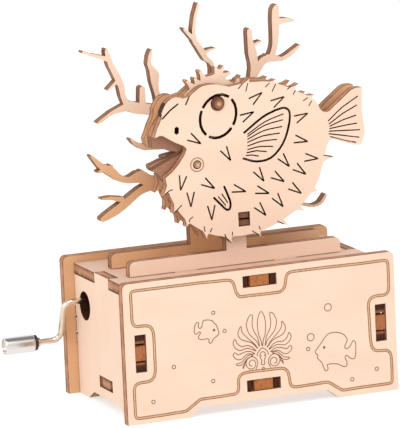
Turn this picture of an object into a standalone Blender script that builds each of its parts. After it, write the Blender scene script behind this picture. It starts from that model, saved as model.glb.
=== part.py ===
# Hand-cranked wooden music box: a puffer fish in front of a coral branch, standing on a box.
# Every wooden piece is a laser-cut plywood plate that slots into its neighbours.
# A comb movement hangs under the deck and is turned by the crank at the left.
# X runs along the box, Y from the front panel to the rear one and Z up.
# Places are built from the front panel's middle, then the whole is centred over its base.

import math

import bmesh
import bpy
from mathutils import Vector
from mathutils.geometry import delaunay_2d_cdt

# Plywood, fits and outline fineness, in metres
ply = 0.0040
slot_clearance = 0.0003
seat_gap = 0.0003
running_clearance = 0.00006
overrun = 0.0008
outline_tolerance = 0.00009
same_point = 0.000002

# Box
box_width = 0.1130
box_height = 0.0550
box_depth = 0.0683
panel_corner_radius = 0.0020
panel_overhang = 0.0044
foot_length = 0.0251
foot_slope = 0.0050
foot_rise = 0.0036
deck_drop = 0.0028
bottom_lift = 0.00725
side_foot_length = 0.0100
side_foot_slope = 0.0061
side_foot_rise = 0.0034
deck_key_width = 0.0150

# Tenons: two slits let the end prongs spring
side_tenon_width = 0.0141
side_prong_width = 0.0033
deck_tenon_width = 0.0135
deck_prong_width = 0.0020
slit_width = 0.0009
slit_depth = 0.0008
prong_recess = 0.0011
middle_recess = 0.0002

# Rails that carry the figures
rail_length = 0.0885
rail_height = 0.0058
rail_corner_radius = 0.0020
rail_tab_width = 0.0094
rail_tab_offset = 0.0209
fish_setback = 0.0233
coral_setback = 0.0429
fish_post_width = 0.0085
fish_post_offset = 0.0005
coral_post_width = 0.0200
coral_post_offset = -0.0009

# Figures: outlines are shares of the figure size, measured from the deck's top
figure_size = 0.1000
thorn_foot = 0.0028
back_thorn_foot = 0.0024
crest_thorn_foot = 0.0027
crest_thorn_width = 0.0013
back_thorn_lean = -0.0014
belly_thorn_lean = 0.0013
cut_line = 0.00064
bold_cut = 0.0009
eye_cut = 0.00115
ray_cut = 0.0005
quill_length = 0.0058
quill_spread = 0.0037

# Peg and dowels that tie the figure plates together
peg_height = 0.0048
peg_clearance = 0.0004
peg_shoulder_height = 0.0085
peg_slit_width = 0.0008
peg_slit_depth = 0.0100
peg_recess = 0.0003
eye_dowel_radius = 0.0026
eye_dowel_stand = 0.0009
mouth_dowel_radius = 0.00145
mouth_dowel_stand = 0.0003
dowel_chamfer = 0.0003

# Crank
crank_drop = 0.0098
crank_from_rear = 0.0078
rod_radius = 0.0012
rod_bend_radius = 0.0034
arm_reach = 0.00775
arm_rearward = 0.0065
arm_downward = 0.0158
knob_start = 0.0112
knob_length = 0.0122
knob_radius = 0.0035
knob_edge = 0.0004
knob_waist = 0.0032
knob_recess_radius = 0.0026
knob_recess_depth = 0.0009
ring_thickness = 0.0010
ring_radius = 0.0031
rod_collar_radius = 0.0020
rod_collar_length = 0.0010
rivet_radius = 0.0019
rivet_thickness = 0.0005
crank_hole_radius = 0.0058
crank_hole_forward = 0.0027
crank_hole_drop = 0.0016

# Movement
movement_inset = 0.0201
gear_module = 0.0006
wheel_teeth = 20
gear_addendum = 0.0005
gear_dedendum = 0.0007
wheel_tooth_tip = 0.00045
wheel_tooth_root = 0.00100
wheel_width = 0.0040
wheel_hub_radius = 0.0032
worm_pitch_radius = 0.0027
worm_length = 0.0090
thread_tip = 0.00040
thread_root = 0.00095
thread_sink = 0.0002
worm_hub_radius = 0.0026
cylinder_radius = 0.0065
cylinder_length = 0.0217
cylinder_to_wheel = 0.0017
pin_height = 0.0006
pin_width = 0.0005
pin_sink = 0.0003
pin_end_margin = 0.0008
arbor_radius = 0.0015
journal_radius = 0.0010
shoulder_radius = 0.0024
base_thickness = 0.0022
base_left = 0.0187
base_right = 0.0300
base_front = 0.0050
base_rear = 0.0010
base_corner_radius = 0.0025
lug_thickness = 0.0030
lug_width = 0.0060
lug_left = 0.0120
lug_right = 0.0100
post_thickness = 0.0024
post_width = 0.0070
post_gap = 0.0012
rear_post_gap = 0.0016
collar_length = 0.0025
collar_radius = 0.0026
shaft_tail = 0.0010
comb_thickness = 0.0008
comb_teeth = 18
comb_gap = 0.0002
tooth_slot = 0.0003
treble_length = 0.0060
bass_length = 0.0088
comb_block_start = 0.0175
comb_block_width = 0.0095
comb_length = 0.0190
screw_inset = 0.0028
screw_head_radius = 0.0019
screw_head_height = 0.0012
screw_head_crown = 0.0004
screw_shank_radius = 0.0008
screw_driver_radius = 0.0006
screw_driver_depth = 0.0006
screw_bite = 0.0028
comb_screw_spacing = 0.0120
comb_screw_setback = 0.0045

# Finenesses, counts and angles
curve_steps = 8
branch_steps = 4
cut_steps = 3
arc_steps = 5
round_steps = 24
small_round_steps = 10
dowel_steps = 18
corner_steps = 4
bend_steps = 7
thread_steps = 12
twist_steps = 2
tune_notes = 54
tune_stride = 7
tune_turn_share = 0.92
smooth_angle = math.radians(35)
flat_angle = math.radians(0.2)

# Peg and dowel places
peg_place_share = (0.0245, 0.1865)
eye_dowel_share = (-0.065, 0.649)
mouth_dowel_share = (-0.161, 0.420)
post_top_share = 0.260

# Outer fish plates, clockwise from the upper lip
brow_shares = [
    (-0.331, 0.542), (-0.321, 0.570), (-0.309, 0.592), (-0.298, 0.615), (-0.297, 0.635),
]
bump_shares = [
    (-0.297, 0.636), (-0.289, 0.653), (-0.274, 0.674), (-0.252, 0.688), (-0.228, 0.690),
    (-0.208, 0.682),
]
dome_shares = [
    (-0.208, 0.682), (-0.183, 0.687), (-0.177, 0.690), (-0.145, 0.713), (-0.120, 0.723),
    (-0.076, 0.725), (-0.031, 0.715), (-0.018, 0.709),
]
back_shares = [
    (-0.018, 0.709), (0.050, 0.716), (0.110, 0.717), (0.160, 0.710), (0.210, 0.692),
    (0.260, 0.667), (0.306, 0.643), (0.338, 0.624), (0.352, 0.604),
]
back_thorn_shares = [(0.071, 0.734), (0.181, 0.718), (0.276, 0.692), (0.339, 0.642)]
tail_top_shares = [
    (0.352, 0.604), (0.362, 0.583), (0.375, 0.571), (0.390, 0.568), (0.406, 0.574),
    (0.432, 0.596), (0.470, 0.625), (0.496, 0.644), (0.516, 0.651), (0.542, 0.650),
]
tail_end_shares = [
    (0.542, 0.650), (0.538, 0.564), (0.542, 0.521), (0.546, 0.466), (0.527, 0.425),
]
tail_under_shares = [
    (0.527, 0.425), (0.492, 0.429), (0.406, 0.459), (0.381, 0.424),
]
belly_shares = [
    (0.381, 0.424), (0.365, 0.370), (0.340, 0.300), (0.298, 0.244), (0.240, 0.195),
    (0.160, 0.153), (0.080, 0.128), (0.000, 0.122), (-0.080, 0.130), (-0.152, 0.160),
    (-0.215, 0.208), (-0.255, 0.262), (-0.283, 0.325), (-0.294, 0.382),
]
belly_thorn_shares = [
    (0.411, 0.389), (0.342, 0.261), (0.282, 0.189), (0.211, 0.138), (0.095, 0.108),
    (-0.028, 0.096), (-0.134, 0.123), (-0.216, 0.181), (-0.268, 0.240), (-0.307, 0.313),
]
mouth_shares = [
    (-0.294, 0.382), (-0.281, 0.391), (-0.266, 0.400), (-0.243, 0.422), (-0.219, 0.451),
    (-0.205, 0.474), (-0.202, 0.487), (-0.213, 0.499), (-0.238, 0.510), (-0.267, 0.527),
    (-0.292, 0.544), (-0.306, 0.548), (-0.321, 0.544),
]

# Cuts in the outer fish plates
eye_centre_share = (-0.065, 0.599)
eye_long_share = 0.0862
eye_short_share = 0.0727
eye_lean_degrees = 63
eye_arc_degrees = [(57, 147), (159, 231), (242, 315), (328, 405)]
nostril_shares = [(-0.2395, 0.551), (-0.2380, 0.571)]
nostril_width_share = 0.018
brow_line_shares = [(-0.296, 0.612), (-0.262, 0.642), (-0.228, 0.664)]
cheek_line_shares = [(-0.197, 0.657), (-0.188, 0.674), (-0.180, 0.690)]
fin_shares = [
    (0.039, 0.523), (0.117, 0.575), (0.175, 0.598), (0.212, 0.603), (0.233, 0.584),
    (0.227, 0.529), (0.199, 0.463), (0.148, 0.414), (0.086, 0.406), (0.031, 0.424),
]
fin_ray_shares = [
    [(0.054, 0.516), (0.128, 0.557), (0.207, 0.580)],
    [(0.053, 0.507), (0.125, 0.543), (0.203, 0.557)],
    [(0.053, 0.496), (0.122, 0.523), (0.199, 0.531)],
    [(0.052, 0.484), (0.118, 0.503), (0.188, 0.506)],
    [(0.052, 0.470), (0.112, 0.483), (0.175, 0.483)],
    [(0.051, 0.456), (0.104, 0.463), (0.158, 0.457)],
    [(0.047, 0.444), (0.088, 0.448), (0.130, 0.440)],
    [(0.044, 0.434), (0.069, 0.433), (0.096, 0.426)],
]
belly_fin_shares = [
    (-0.098, 0.284), (-0.074, 0.257), (-0.048, 0.232), (-0.033, 0.234), (-0.031, 0.265),
    (-0.053, 0.323),
]
belly_fin_ray_shares = [
    [(-0.079, 0.286), (-0.050, 0.248)],
    [(-0.064, 0.295), (-0.041, 0.258)],
]
tail_ray_shares = [
    [(0.394, 0.532), (0.455, 0.580), (0.523, 0.617)],
    [(0.397, 0.520), (0.455, 0.555), (0.518, 0.583)],
    [(0.400, 0.511), (0.455, 0.530), (0.513, 0.543)],
    [(0.399, 0.502), (0.455, 0.508), (0.515, 0.511)],
    [(0.396, 0.492), (0.455, 0.489), (0.526, 0.484)],
    [(0.395, 0.482), (0.455, 0.470), (0.522, 0.455)],
    [(0.401, 0.470), (0.455, 0.451), (0.508, 0.436)],
]
quill_tip_shares = [
    (0.122, 0.673, 33), (0.214, 0.647, 25), (0.084, 0.601, 22), (0.310, 0.572, 20),
    (0.305, 0.461, -16), (0.223, 0.371, -52), (0.346, 0.389, -11), (0.291, 0.333, -39),
    (0.114, 0.325, -59), (0.199, 0.314, -36), (0.269, 0.260, -38), (0.037, 0.293, -19),
    (0.134, 0.275, -21), (0.190, 0.216, -55), (0.116, 0.190, -52), (-0.021, 0.421, -61),
    (-0.141, 0.500, -34), (-0.092, 0.319, -36), (-0.194, 0.258, -91), (-0.110, 0.197, -90),
    (-0.234, 0.327, -103),
]

# Thorns: how far up and how far out the hollow of a side lies, and how round a blunt tip is
hollow_rise_share = 0.45
hollow_reach_share = 0.32
tip_round_share = 0.35

# Middle fish plate, clockwise from the upper lip: crest above, mouth lining in front
lip_shares = [
    (-0.329, 0.540), (-0.316, 0.570), (-0.298, 0.594), (-0.280, 0.618), (-0.262, 0.640),
    (-0.240, 0.658), (-0.212, 0.668),
]
crest_shares = [
    (-0.212, 0.668), (-0.186, 0.690), (-0.160, 0.709), (-0.139, 0.725), (-0.112, 0.740),
    (-0.086, 0.751), (-0.062, 0.754), (-0.048, 0.766), (-0.034, 0.772), (-0.022, 0.764),
    (-0.012, 0.737), (0.017, 0.716), (0.038, 0.712), (0.053, 0.708),
]
crest_thorn_shares = [
    (-0.172, 0.743), (-0.139, 0.750), (-0.115, 0.777), (-0.053, 0.784), (-0.014, 0.785),
    (0.013, 0.756), (0.042, 0.732),
]
middle_back_shares = [
    (0.053, 0.708), (0.120, 0.697), (0.190, 0.680), (0.250, 0.658), (0.310, 0.628),
    (0.362, 0.604),
]
middle_tail_shares = [
    (0.362, 0.604), (0.372, 0.560), (0.430, 0.570), (0.510, 0.610), (0.512, 0.470),
    (0.430, 0.455), (0.370, 0.430),
]
middle_belly_shares = [
    (0.370, 0.430), (0.352, 0.370), (0.328, 0.308), (0.288, 0.252), (0.232, 0.204),
    (0.156, 0.163), (0.078, 0.139), (0.000, 0.132), (-0.078, 0.140), (-0.148, 0.168),
    (-0.208, 0.214), (-0.250, 0.268), (-0.280, 0.330), (-0.306, 0.392),
]
jaw_lining_shares = [
    (-0.306, 0.392), (-0.335, 0.408), (-0.341, 0.428), (-0.327, 0.433), (-0.301, 0.444),
    (-0.264, 0.451), (-0.226, 0.471),
]
palate_lining_shares = [
    (-0.226, 0.471), (-0.259, 0.478), (-0.266, 0.485), (-0.290, 0.488), (-0.325, 0.494),
]

# The rear plate's upper lip hangs as low as the lining
rear_lip_shares = [
    (-0.226, 0.480), (-0.266, 0.486), (-0.300, 0.487), (-0.322, 0.490), (-0.334, 0.505),
    (-0.340, 0.525), (-0.331, 0.545), (-0.270, 0.560), (-0.200, 0.490),
]

# Coral branches as x, height and width; this height in the drawing lies on the deck's top
coral_deck_share = 0.522
coral_branch_shares = [
    [(0.005, 0.602, 0.139), (-0.024, 0.691, 0.158), (-0.043, 0.801, 0.117), (-0.043, 0.899, 0.086),
     (-0.028, 0.978, 0.070), (0.007, 1.079, 0.050), (0.019, 1.265, 0.017), (-0.010, 1.310, 0.021),
     (-0.027, 1.342, 0.025), (-0.050, 1.378, 0.021), (-0.060, 1.396, 0.016)],
    [(-0.062, 1.397, 0.018), (-0.088, 1.425, 0.012), (-0.096, 1.434, 0.009)],
    [(-0.054, 1.390, 0.016), (-0.056, 1.425, 0.013), (-0.047, 1.479, 0.012), (-0.035, 1.514, 0.012),
     (-0.032, 1.527, 0.009)],
    [(-0.018, 1.331, 0.017), (0.006, 1.342, 0.009), (0.032, 1.346, 0.005)],
    [(-0.041, 0.952, 0.062), (-0.107, 1.052, 0.053), (-0.179, 1.109, 0.049), (-0.250, 1.133, 0.044),
     (-0.315, 1.146, 0.044), (-0.341, 1.159, 0.040)],
    [(-0.340, 1.152, 0.030), (-0.361, 1.197, 0.021), (-0.366, 1.236, 0.025), (-0.384, 1.282, 0.026),
     (-0.405, 1.322, 0.022), (-0.415, 1.357, 0.019), (-0.421, 1.381, 0.016), (-0.424, 1.384, 0.008)],
    [(-0.349, 1.153, 0.031), (-0.379, 1.145, 0.022), (-0.413, 1.135, 0.014), (-0.452, 1.112, 0.013),
     (-0.470, 1.103, 0.008)],
    [(-0.418, 1.348, 0.020), (-0.440, 1.356, 0.017), (-0.470, 1.365, 0.012), (-0.510, 1.381, 0.010),
     (-0.518, 1.385, 0.009)],
    [(-0.377, 1.260, 0.017), (-0.402, 1.242, 0.010), (-0.422, 1.227, 0.006)],
    [(-0.282, 1.135, 0.030), (-0.281, 1.180, 0.024), (-0.280, 1.222, 0.022)],
    [(-0.147, 1.062, 0.053), (-0.196, 1.122, 0.041), (-0.218, 1.188, 0.021), (-0.226, 1.231, 0.029),
     (-0.227, 1.267, 0.038), (-0.238, 1.292, 0.022), (-0.247, 1.315, 0.016), (-0.241, 1.349, 0.012),
     (-0.233, 1.365, 0.008)],
    [(-0.228, 1.242, 0.018), (-0.210, 1.264, 0.010)],
    [(-0.005, 1.015, 0.046), (0.095, 1.105, 0.036), (0.177, 1.175, 0.030), (0.186, 1.215, 0.030),
     (0.193, 1.260, 0.032),
     (0.187, 1.311, 0.037), (0.179, 1.361, 0.023),
     (0.178, 1.390, 0.022), (0.178, 1.405, 0.017)],
    [(0.182, 1.335, 0.018), (0.203, 1.347, 0.012), (0.226, 1.355, 0.006)],
    [(0.186, 1.220, 0.031), (0.229, 1.275, 0.030), (0.267, 1.289, 0.026), (0.284, 1.339, 0.023),
     (0.289, 1.402, 0.032), (0.292, 1.466, 0.031), (0.297, 1.487, 0.019)],
    [(0.284, 1.421, 0.026), (0.310, 1.426, 0.023), (0.338, 1.427, 0.017), (0.368, 1.423, 0.007)],
    [(0.245, 1.286, 0.030), (0.285, 1.280, 0.023), (0.314, 1.277, 0.016), (0.357, 1.299, 0.017),
     (0.389, 1.324, 0.007)],
    [(-0.050, 0.931, 0.059), (-0.140, 0.978, 0.039), (-0.200, 0.984, 0.025), (-0.245, 0.985, 0.021),
     (-0.288, 0.989, 0.022), (-0.322, 1.009, 0.015), (-0.338, 1.025, 0.008)],
    [(-0.050, 0.798, 0.077), (-0.160, 0.821, 0.057), (-0.255, 0.848, 0.045), (-0.305, 0.873, 0.049),
     (-0.356, 0.866, 0.025), (-0.396, 0.881, 0.029), (-0.427, 0.909, 0.037), (-0.461, 0.928, 0.026),
     (-0.488, 0.958, 0.016), (-0.505, 0.977, 0.009)],
    [(-0.295, 0.882, 0.024), (-0.301, 0.895, 0.018)],
    [(-0.423, 0.915, 0.019), (-0.425, 0.930, 0.016)],
    [(-0.454, 0.918, 0.014), (-0.471, 0.912, 0.012), (-0.480, 0.911, 0.008)],
    [(-0.234, 0.841, 0.037), (-0.308, 0.818, 0.030), (-0.357, 0.785, 0.032), (-0.402, 0.757, 0.035),
     (-0.445, 0.735, 0.030), (-0.474, 0.722, 0.018)],
    [(-0.380, 0.791, 0.022), (-0.430, 0.803, 0.014), (-0.468, 0.804, 0.008)],
    [(-0.020, 0.820, 0.060), (0.140, 0.749, 0.044), (0.300, 0.716, 0.021), (0.390, 0.684, 0.012),
     (0.424, 0.678, 0.010), (0.451, 0.686, 0.012), (0.468, 0.706, 0.012), (0.474, 0.718, 0.008)],
    [(-0.060, 0.938, 0.046), (-0.140, 0.946, 0.024), (-0.207, 0.938, 0.018)],
    [(-0.060, 0.877, 0.044), (-0.150, 0.878, 0.026), (-0.246, 0.899, 0.025)],
]

# Colours
wood_colour = (0.86, 0.66, 0.46)
shaded_wood_colour = (0.74, 0.52, 0.33)
dowel_colour = (0.50, 0.26, 0.12)
steel_colour = (0.62, 0.62, 0.63)
chrome_colour = (0.75, 0.75, 0.76)
ring_colour = (0.03, 0.03, 0.03)
brass_colour = (0.72, 0.52, 0.22)
cast_colour = (0.56, 0.56, 0.57)
wood_finish = (0.65, 0.0)
ring_finish = (0.50, 0.0)
steel_finish = (0.32, 1.0)
chrome_finish = (0.14, 1.0)
cast_finish = (0.45, 1.0)

# Turns that stand a plate up; its show face looks forward, left or right
facing_front = (math.radians(90), 0, 0)
facing_left = (math.radians(90), 0, math.radians(-90))
facing_right = (math.radians(90), 0, math.radians(90))
lying_flat = (0, 0, 0)

# Levels and places worked out from the sizes
middle_depth = box_depth / 2
deck_top = box_height - deck_drop
deck_under = deck_top - ply
side_outer = box_width / 2 - panel_overhang
side_inner = side_outer - ply
inner_front = ply + seat_gap
inner_half_depth = middle_depth - inner_front
rail_bottom = deck_top + seat_gap
front_plate_depth = fish_setback - seat_gap - ply
rear_plate_depth = fish_setback + ply + seat_gap
crank_height = deck_under - crank_drop
crank_depth = box_depth - ply - crank_from_rear
arm_x = -side_outer - arm_reach
knob_depth = crank_depth + arm_rearward
knob_height = crank_height - arm_downward
knob_inner_x = arm_x - knob_start
knob_outer_x = knob_inner_x - knob_length
wheel_x = -side_inner + movement_inset
wheel_pitch_radius = gear_module * wheel_teeth / 2
wheel_height = crank_height - worm_pitch_radius - wheel_pitch_radius
tail_tip_x = figure_size * max(share[0] for share in tail_end_shares)
centre_x = (knob_outer_x + max(tail_tip_x, box_width / 2)) / 2


def clear_scene():
    for item in list(bpy.data.objects):
        bpy.data.objects.remove(item, do_unlink=True)


def material(name, colour, finish):
    made = bpy.data.materials.new(name)
    made.use_nodes = True
    shader = made.node_tree.nodes["Principled BSDF"]
    shader.inputs["Base Color"].default_value = (*colour, 1)
    shader.inputs["Roughness"].default_value = finish[0]
    shader.inputs["Metallic"].default_value = finish[1]
    return made


def empty(name, place, parent):
    made = bpy.data.objects.new(name, None)
    made.location = place
    made.parent = parent
    bpy.context.scene.collection.objects.link(made)
    return made


def add_piece(name, data, parent, place, turn, colour, finish):
    made = bpy.data.objects.new(name, data)
    made.location = place
    made.rotation_euler = turn
    made.parent = parent
    bpy.context.scene.collection.objects.link(made)
    if not data.materials:
        data.materials.append(material(name, colour, finish))
    return made


# Outline drawing

def smooth_run(points, steps):
    # Catmull-Rom curve through points of any dimension
    first = [2 * a - b for a, b in zip(points[0], points[1])]
    last = [2 * a - b for a, b in zip(points[-1], points[-2])]
    guide = [first] + [list(point) for point in points] + [last]
    run = []
    for index in range(1, len(guide) - 2):
        before, start, end, after = guide[index - 1:index + 3]
        for step in range(steps):
            t = step / steps
            spot = []
            for p, a, b, q in zip(before, start, end, after):
                bend = (2 * p - 5 * a + 4 * b - q) * t * t
                twist = (3 * a - p - 3 * b + q) * t * t * t
                spot.append((2 * a + (b - p) * t + bend + twist) / 2)
            run.append(tuple(spot))
    run.append(tuple(points[-1]))
    return run


def distance_to_chord(point, start, end):
    run_x = end[0] - start[0]
    run_y = end[1] - start[1]
    length = math.hypot(run_x, run_y)
    if length == 0:
        return math.hypot(point[0] - start[0], point[1] - start[1])
    return abs(run_x * (point[1] - start[1]) - run_y * (point[0] - start[0])) / length


def thin_out(run, tolerance):
    # Leaves out points that lie on the line between their neighbours
    kept = [run[0]]
    anchor = 0
    for index in range(2, len(run)):
        between = run[anchor + 1:index]
        if max(distance_to_chord(point, kept[-1], run[index]) for point in between) > tolerance:
            kept.append(run[index - 1])
            anchor = index - 1
    kept.append(run[-1])
    return kept


def figure_point(share):
    return share[0] * figure_size, deck_top + share[1] * figure_size


def figure_run(shares):
    points = [figure_point(share) for share in shares]
    return thin_out(smooth_run(points, curve_steps), outline_tolerance)


def thorny_run(shares, thorn_shares, foot, lean, tip_width):
    # A smooth edge with hollow-sided thorns whose tips are given; each foot is moved along by the lean
    run = smooth_run([figure_point(share) for share in shares], curve_steps)
    lengths = [0]
    for here, after in zip(run, run[1:]):
        lengths.append(lengths[-1] + math.dist(here, after))
    thorns = []
    for share in thorn_shares:
        tip = figure_point(share)
        nearest = min(range(len(run)), key=lambda index: math.dist(run[index], tip))
        thorns.append((lengths[nearest] + lean, tip))
    thorns.sort()
    edge = []
    start = 0
    for middle, tip in thorns:
        low = max(middle - foot / 2, start)
        high = min(middle + foot / 2, lengths[-1])
        before = [point for point, at in zip(run, lengths) if start < at < low]
        near = point_at(run, lengths, low)
        far = point_at(run, lengths, high)
        if start == 0:
            before.insert(0, run[0])
        axis = point_at(run, lengths, (low + high) / 2)
        edge.extend(thin_out(before, outline_tolerance) if len(before) > 2 else before)
        edge.append(near)
        edge.extend(thorn_side(near, axis, tip, tip_width))
        edge.append(tip)
        edge.extend(thorn_side(far, axis, tip, tip_width)[::-1])
        edge.append(far)
        start = high
    after = [point for point, at in zip(run, lengths) if at > start]
    edge.extend(thin_out(after, outline_tolerance) if len(after) > 2 else after)
    return edge


def point_at(run, lengths, at):
    for here, after, low, high in zip(run, run[1:], lengths, lengths[1:]):
        if at <= high:
            share = (at - low) / (high - low)
            return here[0] + (after[0] - here[0]) * share, here[1] + (after[1] - here[1]) * share
    return run[-1]


def thorn_side(foot, axis, tip, tip_width):
    # The hollow half way up one side and, on a blunt thorn, the shoulder beside its tip
    rise = Vector(tip) - Vector(axis)
    reach = Vector(foot) - Vector(axis)
    shoulder = reach.normalized() * tip_width / 2
    hollow = Vector(axis) + rise * hollow_rise_share + reach * hollow_reach_share
    if tip_width == 0:
        return [tuple(hollow)]
    drop = rise.normalized() * tip_width * tip_round_share
    return [tuple(hollow + shoulder * hollow_rise_share), tuple(Vector(tip) + shoulder - drop)]


def stroke_loop(run):
    # Outline of a line of varying width, with a point in the middle of each round end
    left = []
    right = []
    for index, (x, y, width) in enumerate(run):
        ahead = run[min(index + 1, len(run) - 1)]
        behind = run[max(index - 1, 0)]
        length = math.dist(ahead[:2], behind[:2])
        along_x = (ahead[0] - behind[0]) / length
        along_y = (ahead[1] - behind[1]) / length
        left.append((x - along_y * width / 2, y + along_x * width / 2))
        right.append((x + along_y * width / 2, y - along_x * width / 2))
        if index == 0:
            root = (x - along_x * width / 3, y - along_y * width / 3)
        tip = (x + along_x * width / 3, y + along_y * width / 3)
    left = thin_out(left, outline_tolerance) if len(left) > 2 else left
    right = thin_out(right, outline_tolerance) if len(right) > 2 else right
    return left + [tip] + right[::-1] + [root]


def cut_along(shares, width):
    points = [(*figure_point(share), width) for share in shares]
    return stroke_loop(smooth_run(points, cut_steps))


def branch(shares):
    points = []
    for x_share, height_share, width_share in shares:
        place = figure_point((x_share, height_share - coral_deck_share))
        points.append((*place, width_share * figure_size))
    return stroke_loop(smooth_run(points, branch_steps))


def circle_loop(centre, radius, steps):
    loop = []
    for step in range(steps):
        angle = math.tau * step / steps
        loop.append((centre[0] + radius * math.cos(angle), centre[1] + radius * math.sin(angle)))
    return loop


def box_loop(left, bottom, right, top):
    return [(left, bottom), (right, bottom), (right, top), (left, top)]


def rounded_loop(points, radii):
    # Cuts each corner of an outline with an arc of its own radius; zero keeps it sharp
    loop = []
    for index, (point, radius) in enumerate(zip(points, radii)):
        if radius == 0:
            loop.append(point)
            continue
        corner = Vector(point)
        back = (Vector(points[index - 1]) - corner).normalized()
        onward = (Vector(points[(index + 1) % len(points)]) - corner).normalized()
        half = back.angle(onward) / 2
        centre = corner + (back + onward).normalized() * radius / math.sin(half)
        start = corner + back * radius / math.tan(half) - centre
        end = corner + onward * radius / math.tan(half) - centre
        sweep = start.angle_signed(end)
        for step in range(corner_steps + 1):
            turned = start.copy()
            angle = -sweep * step / corner_steps
            x = turned.x * math.cos(angle) - turned.y * math.sin(angle)
            y = turned.x * math.sin(angle) + turned.y * math.cos(angle)
            loop.append((centre.x + x, centre.y + y))
    return loop


# Plates cut from outlines

def signed_area(loop):
    total = 0
    for (x, y), (next_x, next_y) in zip(loop, loop[1:] + loop[:1]):
        total += x * next_y - next_x * y
    return total


def plate_mesh(name, solids, holes, thickness):
    # The area inside any solid loop and outside every hole, extruded downwards
    points = []
    outlines = []
    for loop in solids + holes:
        turned = loop if signed_area(loop) > 0 else loop[::-1]
        outlines.append(list(range(len(points), len(points) + len(turned))))
        points.extend(Vector(point) for point in turned)
    filled = delaunay_2d_cdt(points, [], outlines, 0, same_point)
    corners, triangles, owners = filled[0], filled[2], filled[5]
    build = bmesh.new()
    vertices = [build.verts.new((x, y, 0)) for x, y in corners]
    for triangle, inside in zip(triangles, owners):
        if inside and max(inside) < len(solids):
            build.faces.new([vertices[index] for index in triangle])
    loose = [vertex for vertex in build.verts if not vertex.link_faces]
    bmesh.ops.delete(build, geom=loose, context="VERTS")
    bmesh.ops.dissolve_limit(build, angle_limit=flat_angle, verts=build.verts, edges=build.edges)
    lifted = bmesh.ops.extrude_face_region(build, geom=build.faces[:])
    sunk = [item for item in lifted["geom"] if isinstance(item, bmesh.types.BMVert)]
    bmesh.ops.translate(build, verts=sunk, vec=(0, 0, -thickness))
    bmesh.ops.recalc_face_normals(build, faces=build.faces)
    return finish_mesh(name, build)


def finish_mesh(name, build):
    data = bpy.data.meshes.new(name)
    build.to_mesh(data)
    build.free()
    return data


def shade_round(data):
    data.shade_smooth()
    data.set_sharp_from_angle(angle=smooth_angle)


def edge_box(place, out, low, high, near, far):
    # A rectangle from low to high along an edge and from near to far out of it
    along = Vector((-out.y, out.x))
    spots = [(low, near), (high, near), (high, far), (low, far)]
    return [tuple(place + along * u + out * v) for u, v in spots]


def add_tenon(solids, slits, place, out, width, prong, root):
    # Three prongs through the neighbour; the slits between them run back past the root
    reach = ply + seat_gap
    half = width / 2
    inner = half - prong
    solids.append(edge_box(place, out, -half, -inner, -root, reach - prong_recess))
    solids.append(edge_box(place, out, inner, half, -root, reach - prong_recess))
    solids.append(edge_box(place, out, -inner, inner, -root, reach - middle_recess))
    slits.append(edge_box(place, out, -inner, slit_width - inner, -slit_depth, reach + overrun))
    slits.append(edge_box(place, out, inner - slit_width, inner, -slit_depth, reach + overrun))


def slot_loop(x, y, width, height):
    half_width = width / 2 + slot_clearance
    half_height = height / 2 + slot_clearance
    return box_loop(x - half_width, y - half_height, x + half_width, y + half_height)


# Turned pieces

def turned_mesh(name, profile, steps):
    # Spins a profile of (along, radius) pairs round the X axis
    build = bmesh.new()
    spots = [build.verts.new((along, 0, radius)) for along, radius in profile]
    edges = [build.edges.new(pair) for pair in zip(spots, spots[1:])]
    if profile[0][1] > 0:
        edges.append(build.edges.new((spots[-1], spots[0])))
    bmesh.ops.spin(
        build, geom=spots + edges, cent=(0, 0, 0), axis=(1, 0, 0), angle=math.tau, steps=steps,
        use_merge=True,
    )
    bmesh.ops.remove_doubles(build, verts=build.verts, dist=same_point)
    bmesh.ops.recalc_face_normals(build, faces=build.faces)
    data = finish_mesh(name, build)
    shade_round(data)
    return data


def cylinder_cutter(name, place, radius, length, turn, parent, steps):
    # A guide that runs both ways from its place along its own X axis
    half = length / 2
    profile = [(-half, 0), (-half, radius), (half, radius), (half, 0)]
    data = turned_mesh(name, profile, steps)
    guide = add_piece(name, data, parent, place, turn, steel_colour, steel_finish)
    hide_guide(guide)
    return guide


def hide_guide(guide):
    guide.hide_render = True
    guide.display_type = "WIRE"


def combine(target, guide, operation):
    modifier = target.modifiers.new(guide.name, "BOOLEAN")
    modifier.operation = operation
    modifier.solver = "EXACT"
    modifier.object = guide


along_x = (0, 0, 0)
along_y = (0, 0, math.radians(90))
along_z = (0, math.radians(90), 0)


# Box panels

def build_end_panels(root):
    half = box_width / 2
    foot_end = half - foot_length
    slope_end = foot_end - foot_slope
    outline = [
        (-half, 0), (-foot_end, 0), (-slope_end, foot_rise), (slope_end, foot_rise),
        (foot_end, 0), (half, 0), (half, box_height), (-half, box_height),
    ]
    radii = [0, 0, 0, 0, 0, 0, panel_corner_radius, panel_corner_radius]
    side_middle = side_outer - ply / 2
    holes = [
        slot_loop(-side_middle, box_height / 2, ply, side_tenon_width),
        slot_loop(side_middle, box_height / 2, ply, side_tenon_width),
        slot_loop(0, deck_under + ply / 2, deck_tenon_width, ply),
        slot_loop(0, bottom_lift + ply / 2, deck_tenon_width, ply),
    ]
    data = plate_mesh("end_panel", [rounded_loop(outline, radii)], holes, ply)
    add_piece("front_panel", data, root, (0, 0, 0), facing_front, wood_colour, wood_finish)
    twin = data.copy()
    twin.materials.clear()
    rear = (0, box_depth - ply, 0)
    add_piece("rear_panel", twin, root, rear, facing_front, wood_colour, wood_finish)


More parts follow.
